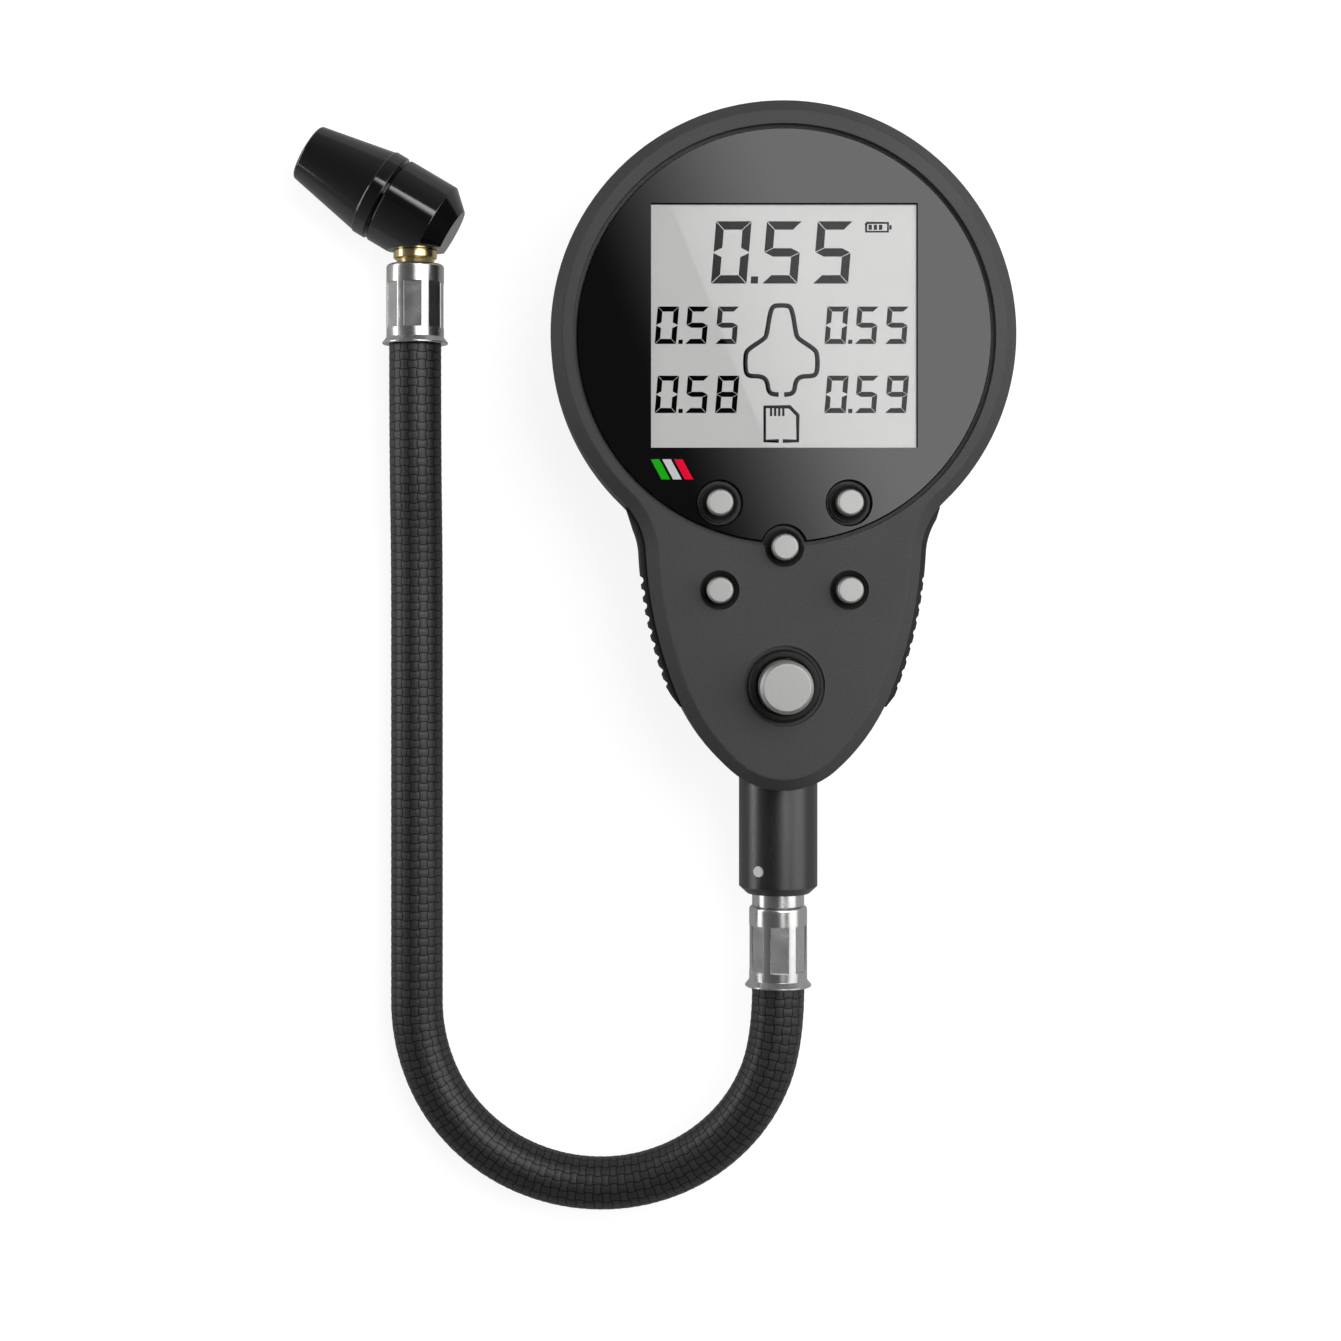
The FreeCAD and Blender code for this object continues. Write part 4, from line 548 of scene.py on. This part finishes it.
def pale_floor(scene):
    """A large plain floor, white to the eye, that still takes the gauge's soft shadow."""
    shape = bmesh.new()
    bmesh.ops.create_grid(shape, x_segments=1, y_segments=1, size=4.0)
    bmesh.ops.translate(shape, verts=shape.verts, vec=(0, 0, -FLOOR_DROP))
    floor = object_from("floor", shape)
    material, tree, shader = surface("floor_paper", Base_Color=tone("#909090"), Roughness=1.0,
                                     Specular_IOR_Level=0.0, Emission_Color=(1, 1, 1, 1))
    path = add(tree, "ShaderNodeLightPath")
    mirrored = add(tree, "ShaderNodeMath", {0: path.outputs["Is Glossy Ray"],
                                            1: path.outputs["Is Transmission Ray"]},
                   operation="MAXIMUM")
    dimmed = add(tree, "ShaderNodeMath", {0: mirrored.outputs[0], 1: FLOOR_MIRRORED},
                 operation="MULTIPLY")
    seen = add(tree, "ShaderNodeMath", {0: path.outputs["Is Camera Ray"],
                                        1: dimmed.outputs[0]}, operation="MAXIMUM")
    strength = add(tree, "ShaderNodeMath", {0: seen.outputs[0], 1: FLOOR_GLOW},
                   operation="MULTIPLY")
    tree.links.new(strength.outputs[0], shader.inputs["Emission Strength"])
    dress(floor, material)


def soft_world(scene):
    """Grey light, strongest near the horizon, and white only where the camera sees it."""
    world = bpy.data.worlds.new("studio")
    world.use_nodes = True
    tree = world.node_tree
    tree.nodes.clear()
    height = add(tree, "ShaderNodeSeparateXYZ",
                 {"Vector": add(tree, "ShaderNodeTexCoord").outputs["Generated"]})
    soft = add(tree, "ShaderNodeMapRange", {"Value": height.outputs["Z"],
                                            "To Min": scene.gauge_stage.world,
                                            "To Max": scene.gauge_stage.world * OVERHEAD_SHARE})
    path = add(tree, "ShaderNodeLightPath")
    strength = add(tree, "ShaderNodeMapRange", {"Value": path.outputs["Is Camera Ray"],
                                                "To Min": soft.outputs["Result"],
                                                "To Max": 1.0})
    background = add(tree, "ShaderNodeBackground",
                     {"Color": (1, 1, 1, 1), "Strength": strength.outputs["Result"]})
    output = add(tree, "ShaderNodeOutputWorld")
    tree.links.new(background.outputs["Background"], output.inputs["Surface"])
    scene.world = world


def glare_card(scene):
    """A soft-edged card, right of the camera, whose reflection crosses the lens slantwise."""
    height = scene.gauge_stage.camera_height
    foot = Vector((0.022, 0.0044, height))
    head = Vector((-0.0126, 0.0912, height))
    along = (head - foot).normalized()
    across = Vector((along.y, -along.x, 0))
    shape = bmesh.new()
    bmesh.ops.create_grid(shape, x_segments=1, y_segments=1, size=0.5)
    bmesh.ops.scale(shape, verts=shape.verts, vec=(0.48, 0.46, 1))
    turn = Matrix((across, along, (0, 0, 1))).transposed().to_4x4()
    bmesh.ops.transform(shape, matrix=turn, verts=shape.verts)
    middle = (foot + head) / 2 + across * 0.084
    bmesh.ops.translate(shape, verts=shape.verts, vec=middle)
    card = object_from("glare_card", shape)
    card.visible_camera = False
    card.visible_shadow = False

    material = bpy.data.materials.new("glare_card")
    material.use_nodes = True
    tree = material.node_tree
    tree.nodes.clear()
    place = add(tree, "ShaderNodeTexCoord").outputs["Object"]
    offset = add(tree, "ShaderNodeVectorMath", {0: place, 1: foot}, operation="SUBTRACT")
    reach = add(tree, "ShaderNodeVectorMath", {0: offset.outputs["Vector"], 1: across},
                operation="DOT_PRODUCT").outputs["Value"]
    soft = add(tree, "ShaderNodeMapRange", {"Value": reach, "From Min": -0.034,
                                            "From Max": 0.045, "To Min": 0.015, "To Max": 1.0},
               interpolation_type="SMOOTHSTEP").outputs["Result"]
    past_edge = add(tree, "ShaderNodeMath", {0: reach, 1: 0.0}, operation="GREATER_THAN")
    cut = add(tree, "ShaderNodeMath", {0: soft, 1: past_edge.outputs[0]}, operation="MULTIPLY")
    path = add(tree, "ShaderNodeLightPath")
    behind_lens = add(tree, "ShaderNodeMath", {0: path.outputs["Transparent Depth"], 1: 0.5},
                      operation="GREATER_THAN")
    level = add(tree, "ShaderNodeMix", {"Factor": behind_lens.outputs[0], "A": soft,
                                        "B": cut.outputs[0]})
    strength = add(tree, "ShaderNodeMath", {0: level.outputs["Result"],
                                            1: scene.gauge_stage.glare}, operation="MULTIPLY")
    glow = add(tree, "ShaderNodeEmission", {"Strength": strength.outputs[0]})
    output = add(tree, "ShaderNodeOutputMaterial")
    tree.links.new(glow.outputs["Emission"], output.inputs["Surface"])
    dress(card, material)


def softbox(scene, name, place, target, size, power):
    """A rectangular lamp that faces a point on the gauge."""
    data = bpy.data.lights.new(name, "AREA")
    data.shape = "RECTANGLE"
    data.size, data.size_y = size
    data.energy = power
    lamp = bpy.data.objects.new(name, data)
    lamp.location = place
    lamp.rotation_euler = (Vector(target) - Vector(place)).to_track_quat("-Z", "Y").to_euler()
    lamp.visible_camera = False
    scene.collection.objects.link(lamp)


class GAUGE_OT_stage(bpy.types.Operator):
    """Sets the camera, the pale floor and the soft studio light"""
    bl_idname = "gauge.stage"
    bl_label = "Stage"

    def execute(self, context):
        scene = context.scene
        scene.view_settings.view_transform = "Standard"
        look_straight_down(scene)
        pale_floor(scene)
        soft_world(scene)
        glare_card(scene)
        softbox(scene, "left_softbox", (-0.52, 0.04, 0.10), (-0.02, -0.06, 0.01),
                (0.50, 0.16), 0.9)
        softbox(scene, "right_softbox", (0.50, 0.04, 0.32), (0.0, -0.06, 0.01),
                (0.60, 0.42), 1.4)
        return {"FINISHED"}


# ---------------------------------------------------------------- hose

HOSE_ROUTE = [
    (0, -122.3, 12.5), (0, -133.4, 12.5), (-5.1, -146.3, 11.2), (-14.9, -156.1, 9),
    (-27.7, -161.4, 6.8), (-41.6, -161.4, 5.4), (-54.4, -156.1, 5.05), (-64.2, -146.3, 5),
    (-69.3, -133.4, 5), (-69.3, -119.5, 5), (-69.3, -62.3, 5), (-69.3, -41, 5.05),
    (-69.3, -20, 8.7), (-69.3, -0.1, 8.7),
]


def centre_line(points):
    """Points along the NURBS spline that has the route as its control points."""
    curve = bpy.data.curves.new("hose_line", "CURVE")
    curve.dimensions = "3D"
    curve.resolution_u = 24
    spline = curve.splines.new("NURBS")
    spline.points.add(len(points) - 1)
    for point, (x, y, z) in zip(spline.points, points):
        point.co = (x * MM, y * MM, z * MM, 1)
    spline.order_u = 3
    spline.use_endpoint_u = True
    holder = bpy.data.objects.new("hose_line", curve)
    mesh = bpy.data.meshes.new_from_object(holder)
    line = [vertex.co.copy() for vertex in mesh.vertices]
    bpy.data.objects.remove(holder)
    bpy.data.curves.remove(curve)
    bpy.data.meshes.remove(mesh)
    return line


def evenly(line, steps):
    """The same line as steps + 1 points at equal distances, with the length."""
    reach = [0.0]
    for first, second in zip(line, line[1:]):
        reach.append(reach[-1] + (second - first).length)
    points = []
    index = 0
    for step in range(steps + 1):
        wanted = reach[-1] * step / steps
        while index < len(reach) - 2 and reach[index + 1] < wanted:
            index += 1
        share = (wanted - reach[index]) / (reach[index + 1] - reach[index])
        points.append(line[index].lerp(line[index + 1], min(max(share, 0), 1)))
    return points, reach[-1]


def yarn_height(along, around):
    """Height of the braid, 0 to 1: yarns pass over and under like a plain weave."""
    swell = math.cos(math.pi * along) * math.sin(math.pi * around)
    narrow = math.cos(math.pi * around) * math.sin(math.pi * along)
    along += CELL_SWELL * swell
    around -= CELL_SWELL * narrow
    row = math.sin(math.pi * (along % 1))
    column = math.sin(math.pi * (around % 1))
    lengthwise = (math.floor(along) + math.floor(around)) % 2 == 0
    long_side, short_side = (row, column) if lengthwise else (column, row)
    return long_side ** 0.25 * short_side ** 0.6


class GAUGE_OT_hose(bpy.types.Operator):
    """Makes the braided hose as a woven tube along its route"""
    bl_idname = "gauge.hose"
    bl_label = "Braided hose"

    def execute(self, context):
        settings = context.scene.gauge_hose
        route = centre_line(HOSE_ROUTE)
        length = evenly(route, 1)[1]
        cells = round(length / settings.cell)
        steps = cells * STEPS_PER_CELL
        points = evenly(route, steps)[0]
        shape = bmesh.new()
        map_layer = shape.loops.layers.uv.new("UVMap")
        columns = YARNS_ROUND * STEPS_PER_CELL
        bmesh.ops.create_grid(shape, x_segments=steps, y_segments=columns, size=1,
                              calc_uvs=True)
        inner = settings.diameter / 2 - settings.relief
        up = Vector((0, 0, 1))
        for face in shape.faces:
            for loop in face.loops:
                flat = loop.vert.co
                loop[map_layer].uv = ((flat.x + 1) / 2, (flat.y + 1) / 2)
        for vertex in shape.verts:
            step = round((vertex.co.x + 1) / 2 * steps)
            turn = (vertex.co.y + 1) / 2
            ahead = points[min(step + 1, steps)] - points[max(step - 1, 0)]
            side = ahead.cross(up).normalized()
            over = side.cross(ahead).normalized()
            angle = 2 * math.pi * turn
            outwards = side * math.cos(angle) + over * math.sin(angle)
            relief = settings.relief * yarn_height(step / STEPS_PER_CELL, turn * YARNS_ROUND)
            vertex.co = points[step] + outwards * (inner + relief)
        bmesh.ops.remove_doubles(shape, verts=shape.verts, dist=0.005 * MM)
        rims = [edge for edge in shape.edges if len(edge.link_faces) == 1]
        bmesh.ops.holes_fill(shape, edges=rims, sides=0)
        bmesh.ops.recalc_face_normals(shape, faces=shape.faces)
        hose = piece_from("braided_hose", shape, "hose_line",
                          braided_yarn(settings.yarn, cells, YARNS_ROUND))
        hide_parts("hose")
        return {"FINISHED"}


# ---------------------------------------------------------------- case, lens and display

class GAUGE_OT_case(bpy.types.Operator):
    """Finishes the case shells, grips, lens, seals and every inner CAD piece"""
    bl_idname = "gauge.case"
    bl_label = "Case and insides"

    def execute(self, context):
        make_materials(context.scene)
        for name, node in frame["nodes"].items():
            dress(node, MATERIALS[SLOT_OF[name]])
        dress(frame["nodes"]["bleed_collar"], MATERIALS["collar_rubber"])
        dress(frame["nodes"]["retaining_pin"], MATERIALS["pin_steel"])
        self.free_the_print()
        return {"FINISHED"}

    def free_the_print(self):
        """The print as a copy a hair below the lens, so that they share no plane."""
        shape = copy_of("lens_bond")
        bmesh.ops.translate(shape, verts=shape.verts, vec=(0, 0, -PRINT_DROP))
        piece = piece_from("lens_print", shape, BODY_OF["lens_bond"],
                           MATERIALS["lens_black"], smooth=False)
        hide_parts("lens_bond")


SEGMENTS = {
    "0": "abcdef", "1": "bc", "2": "abdeg", "3": "abcdg", "4": "bcfg",
    "5": "acdfg", "6": "acdefg", "7": "abc", "8": "abcdefg", "9": "abcdfg",
}
INK_THICKNESS = 0.02 * MM
INK_LIFT = 0.002 * MM  # how far ink is kept off the face under it
SHEET_ROOM = 0.06 * MM
LAYOUT_SHIFT = (-0.13 * MM, -0.22 * MM)
DIGIT_WIDTH, DIGIT_STROKE = 0.57, 0.135  # shares of a digit's height
DIGIT_LEAN = 0.083
POINT_SIZE, MITRE_GAP = 0.85, 0.06  # shares of the stroke
LARGE_PLACE, LARGE_PITCH = (-13.2 * MM, 9.2 * MM), 9.3 * MM
SMALL_PLACES = [(x * MM, y * MM) for y in (-1.85, -14.5) for x in (-23.5, 7.55)]
SMALL_PITCH = 5.52 * MM
VEHICLE_STROKE, CARD_STROKE, BATTERY_STROKE = 0.85 * MM, 0.7 * MM, 0.46 * MM
STRIPE_SIZE = (1.57 * MM, 3.67 * MM)
STRIPE_START, STRIPE_PITCH = (-22.6 * MM, -25.1 * MM), 2.11 * MM
STRIPE_LEAN = -0.54


def add_plate(shape, outline):
    """A thin flat solid over an outline of points."""
    face = shape.faces.new([shape.verts.new((x, y, 0)) for x, y in outline])
    raised = bmesh.ops.extrude_face_region(shape, geom=[face])
    lifted = [item for item in raised["geom"] if isinstance(item, bmesh.types.BMVert)]
    bmesh.ops.translate(shape, verts=lifted, vec=(0, 0, INK_THICKNESS))
    bmesh.ops.recalc_face_normals(shape, faces=shape.faces)


def add_block(shape, centre, size):
    """A thin flat block, such as a point or a bar of a sign."""
    made = bmesh.ops.create_cube(shape, size=1)["verts"]
    bmesh.ops.scale(shape, verts=made, vec=(*size, INK_THICKNESS))
    bmesh.ops.translate(shape, verts=made, vec=(*centre, INK_THICKNESS / 2))


def segment_outlines(width, height, stroke):
    """The seven mitred segments of a digit, with a fine gap at each mitre."""
    gap = stroke * MITRE_GAP
    top, middle, inner = height, height / 2, stroke
    upper, lower = middle + stroke / 2, middle - stroke / 2
    flat = {
        "a": [(gap, top), (width - gap, top), (width - inner - gap, top - inner),
              (inner + gap, top - inner)],
        "d": [(gap, 0), (inner + gap, inner), (width - inner - gap, inner), (width - gap, 0)],
        "g": [(gap, middle), (inner + gap, upper), (width - inner - gap, upper),
              (width - gap, middle), (width - inner - gap, lower), (inner + gap, lower)],
        "f": [(0, top - gap), (inner, top - inner - gap), (inner, upper + gap),
              (0, middle + gap)],
        "e": [(0, gap), (0, middle - gap), (inner, lower - gap), (inner, inner + gap)],
    }
    mirrored = {"b": flat["f"], "c": flat["e"]}
    for name, outline in mirrored.items():
        flat[name] = [(width - x, y) for x, y in reversed(outline)]
    return flat


def lean_over(shape, amount):
    """Slants a drawing sideways by a share of its height."""
    slant = Matrix.Identity(4)
    slant[0][1] = amount
    bmesh.ops.transform(shape, matrix=slant, verts=shape.verts)

def add_number(shape, text, corner, height, pitch):
    """A leaning seven-segment number whose first digit's lower left corner is given."""
    width = height * DIGIT_WIDTH
    stroke = height * DIGIT_STROKE
    outlines = segment_outlines(width, height, stroke)
    drawn = bmesh.new()
    place = 0.0
    for sign in text:
        if sign == ".":
            dot = stroke * POINT_SIZE
            add_block(drawn, (place - (pitch - width) / 2, dot / 2), (dot, dot))
            continue
        for segment in SEGMENTS[sign]:
            add_plate(drawn, [(place + x, y) for x, y in outlines[segment]])
        place += pitch
    lean_over(drawn, DIGIT_LEAN)
    bmesh.ops.translate(drawn, verts=drawn.verts, vec=(*corner, 0))
    merge_into(shape, drawn)


def merge_into(shape, other):
    """Adds another bmesh to a bmesh, and frees the other."""
    mesh = bpy.data.meshes.new("part")
    other.to_mesh(mesh)
    other.free()
    shape.from_mesh(mesh)
    bpy.data.meshes.remove(mesh)


def add_line_sign(shape, points, stroke, straight=True):
    """A sign drawn with one even line, through points in mm, with sharp or round corners."""
    curve = bpy.data.curves.new("sign", "CURVE")
    curve.dimensions = "3D"
    curve.resolution_u = 6
    curve.bevel_depth = stroke / 2
    curve.bevel_resolution = 2
    curve.use_fill_caps = True
    spline = curve.splines.new("POLY" if straight else "NURBS")
    spline.points.add(len(points) - 1)
    for point, (x, y) in zip(spline.points, points):
        point.co = (x * MM, y * MM, 0, 1)
    spline.order_u = 3
    spline.use_endpoint_u = True
    holder = bpy.data.objects.new("sign", curve)
    mesh = bpy.data.meshes.new_from_object(holder)
    flatten = Matrix.Diagonal((1, 1, INK_THICKNESS / stroke, 1))
    mesh.transform(Matrix.Translation((0, 0, INK_THICKNESS / 2)) @ flatten)
    shape.from_mesh(mesh)
    bpy.data.objects.remove(holder)
    bpy.data.curves.remove(curve)
    bpy.data.meshes.remove(mesh)


class GAUGE_OT_display(bpy.types.Operator):
    """Draws the display's face, numbers and signs, and the printed stripes beside them"""
    bl_idname = "gauge.display"
    bl_label = "Display"

    def execute(self, context):
        settings = context.scene.gauge_display
        level = self.fill_the_window() + INK_LIFT
        shape = bmesh.new()
        add_number(shape, settings.reading, LARGE_PLACE, settings.large_height, LARGE_PITCH)
        for text, place in zip(settings.corners.split(), SMALL_PLACES):
            add_number(shape, text, place, settings.small_height, SMALL_PITCH)
        bmesh.ops.translate(shape, verts=shape.verts, vec=(*LAYOUT_SHIFT, level))
        piece_from("display_numbers", shape, "gauge", MATERIALS["display_ink"],
                   smooth=False)
        self.draw_signs(level)
        self.print_stripes()
        return {"FINISHED"}

    def draw_signs(self, level):
        """A plain vehicle outline, a memory card and a battery level."""
        shape = bmesh.new()
        half = [(0.5, -11.1), (1.7, -11.1), (2.4, -10.4), (2.6, -8.6), (3.6, -7.75),
                (5.9, -7.75), (6.6, -7.0), (6.6, -3.6), (5.9, -2.7), (3.1, -0.9), (2.7, -0.2),
                (2.1, 3.7), (1.6, 5.0), (0.8, 5.2)]
        outline = half + [(-x, y) for x, y in reversed(half)]
        add_line_sign(shape, [(x - 0.3, y) for x, y in outline], VEHICLE_STROKE,
                      straight=False)
        card = [(-0.05, -19.6), (2.7, -19.6), (2.7, -14.9), (1.2, -13.35), (-3.35, -13.35),
                (-3.35, -19.6), (-0.75, -19.6)]
        add_line_sign(shape, card, CARD_STROKE)
        for x in (-2.2, -1.45, -0.7, 0.05):
            add_block(shape, (x * MM, -14.3 * MM), (0.42 * MM, 1.5 * MM))
        battery = [(15.2, 20.3), (19.2, 20.3), (19.2, 18.7), (15.2, 18.7), (15.2, 20.3)]
        add_line_sign(shape, battery, BATTERY_STROKE)
        for x in (15.95, 16.9, 17.85):
            add_block(shape, (x * MM, 19.5 * MM), (0.62 * MM, 0.95 * MM))
        add_block(shape, (19.65 * MM, 19.5 * MM), (0.45 * MM, 0.8 * MM))
        bmesh.ops.translate(shape, verts=shape.verts, vec=(*LAYOUT_SHIFT, level))
        piece_from("display_signs", shape, "gauge", MATERIALS["display_ink"],
                   smooth=False)

    def fill_the_window(self):
        """The display's face: a pale sheet that fills the window up to the print."""
        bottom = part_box("display_panel")[1].z
        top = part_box("lens_bond")[0].z - 2 * PRINT_DROP
        shape = bmesh.new()
        sheet = bmesh.ops.create_cube(shape, size=1)["verts"]
        bmesh.ops.scale(shape, verts=sheet,
                        vec=(WINDOW[0] - SHEET_ROOM, WINDOW[1] - SHEET_ROOM, top - bottom))
        bmesh.ops.translate(shape, verts=sheet, vec=(0, WINDOW_LEVEL, (top + bottom) / 2))
        piece_from("display_face", shape, "gauge", MATERIALS["display"],
                   smooth=False)
        return top

    def print_stripes(self):
        """Three slanted stripes, printed on the lens."""
        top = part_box("lens")[1].z
        codes = {"green_stripe": "#22b01c", "grey_stripe": "#cfcfcf", "red_stripe": "#f0143c"}
        for number, (name, code) in enumerate(codes.items()):
            shape = bmesh.new()
            add_block(shape, (0, 0), STRIPE_SIZE)
            lean_over(shape, STRIPE_LEAN)
            start_x, start_y = STRIPE_START
            bmesh.ops.translate(shape, verts=shape.verts,
                                vec=(start_x + number * STRIPE_PITCH, start_y, top + INK_LIFT))
            piece_from(name, shape, "gauge", stripe_ink(name, code), smooth=False)


# ---------------------------------------------------------------- buttons, fittings, chuck

class GAUGE_OT_buttons(bpy.types.Operator):
    """Rounds the edges of the buttons and the bleed collar, and copies the bleed spring"""
    bl_idname = "gauge.buttons"
    bl_label = "Buttons"

    def execute(self, context):
        for node in frame["nodes"]:
            if node.endswith("_button"):
                softened(node, 0.12 * MM)
        softened("bleed_collar", 0.3 * MM, MATERIALS["collar_rubber"])
        self.squash_the_spring()
        return {"FINISHED"}

    def squash_the_spring(self):
        """The bleed spring as a copy with a mesh of its own, riding on the spring's body."""
        spring = piece_from("bleed_coil", copy_of("bleed_spring"), BODY_OF["bleed_spring"],
                            MATERIALS[SLOT_OF["bleed_spring"]])
        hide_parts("bleed_spring")
        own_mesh(spring)


class GAUGE_OT_fittings(bpy.types.Operator):
    """Rounds the tube, the swivel, the ferrules and the nipple"""
    bl_idname = "gauge.fittings"
    bl_label = "Tube and ferrules"

    def execute(self, context):
        softened("tube_socket", 0.2 * MM)
        softened("swivel_stem", 0.12 * MM)
        softened("lower_ferrule", 0.14 * MM)
        softened("upper_ferrule", 0.14 * MM)
        softened("brass_nipple", 0.15 * MM)
        return {"FINISHED"}


class GAUGE_OT_chuck(bpy.types.Operator):
    """Rounds the angled chuck's body and nose"""
    bl_idname = "gauge.chuck"
    bl_label = "Chuck"

    def execute(self, context):
        softened("chuck_body", 0.15 * MM, MATERIALS["chuck_metal"])
        softened("chuck_nose", 0.15 * MM, MATERIALS["chuck_metal"])
        return {"FINISHED"}


class GAUGE_PT_panel(bpy.types.Panel):
    """Lists the gauge's settings and its pieces"""
    bl_idname = "GAUGE_PT_panel"
    bl_label = "Tyre Pressure Gauge"
    bl_space_type = "VIEW_3D"
    bl_region_type = "UI"
    bl_category = "Gauge"

    def draw(self, context):
        for name, group in SETTINGS.items():
            box = self.layout.box()
            for setting in group.__annotations__:
                box.prop(getattr(context.scene, name), setting)
        for operator in OPERATORS:
            self.layout.operator(operator.bl_idname)


OPERATORS = (
    GAUGE_OT_stage, GAUGE_OT_case, GAUGE_OT_fittings, GAUGE_OT_chuck, GAUGE_OT_hose,
    GAUGE_OT_display, GAUGE_OT_buttons,
)
CLASSES = (*SETTINGS.values(), *OPERATORS, GAUGE_PT_panel)


def register():
    for kind in CLASSES:
        bpy.utils.register_class(kind)
    for name, group in SETTINGS.items():
        setattr(bpy.types.Scene, name, bpy.props.PointerProperty(type=group))


def unregister():
    for name in SETTINGS:
        delattr(bpy.types.Scene, name)
    for kind in reversed(CLASSES):
        bpy.utils.unregister_class(kind)


def main():
    register()
    bpy.ops.gauge.stage()
    bpy.ops.gauge.case()
    bpy.ops.gauge.fittings()
    bpy.ops.gauge.chuck()
    bpy.ops.gauge.hose()
    bpy.ops.gauge.display()
    bpy.ops.gauge.buttons()


if __name__ == "__main__":
    main()
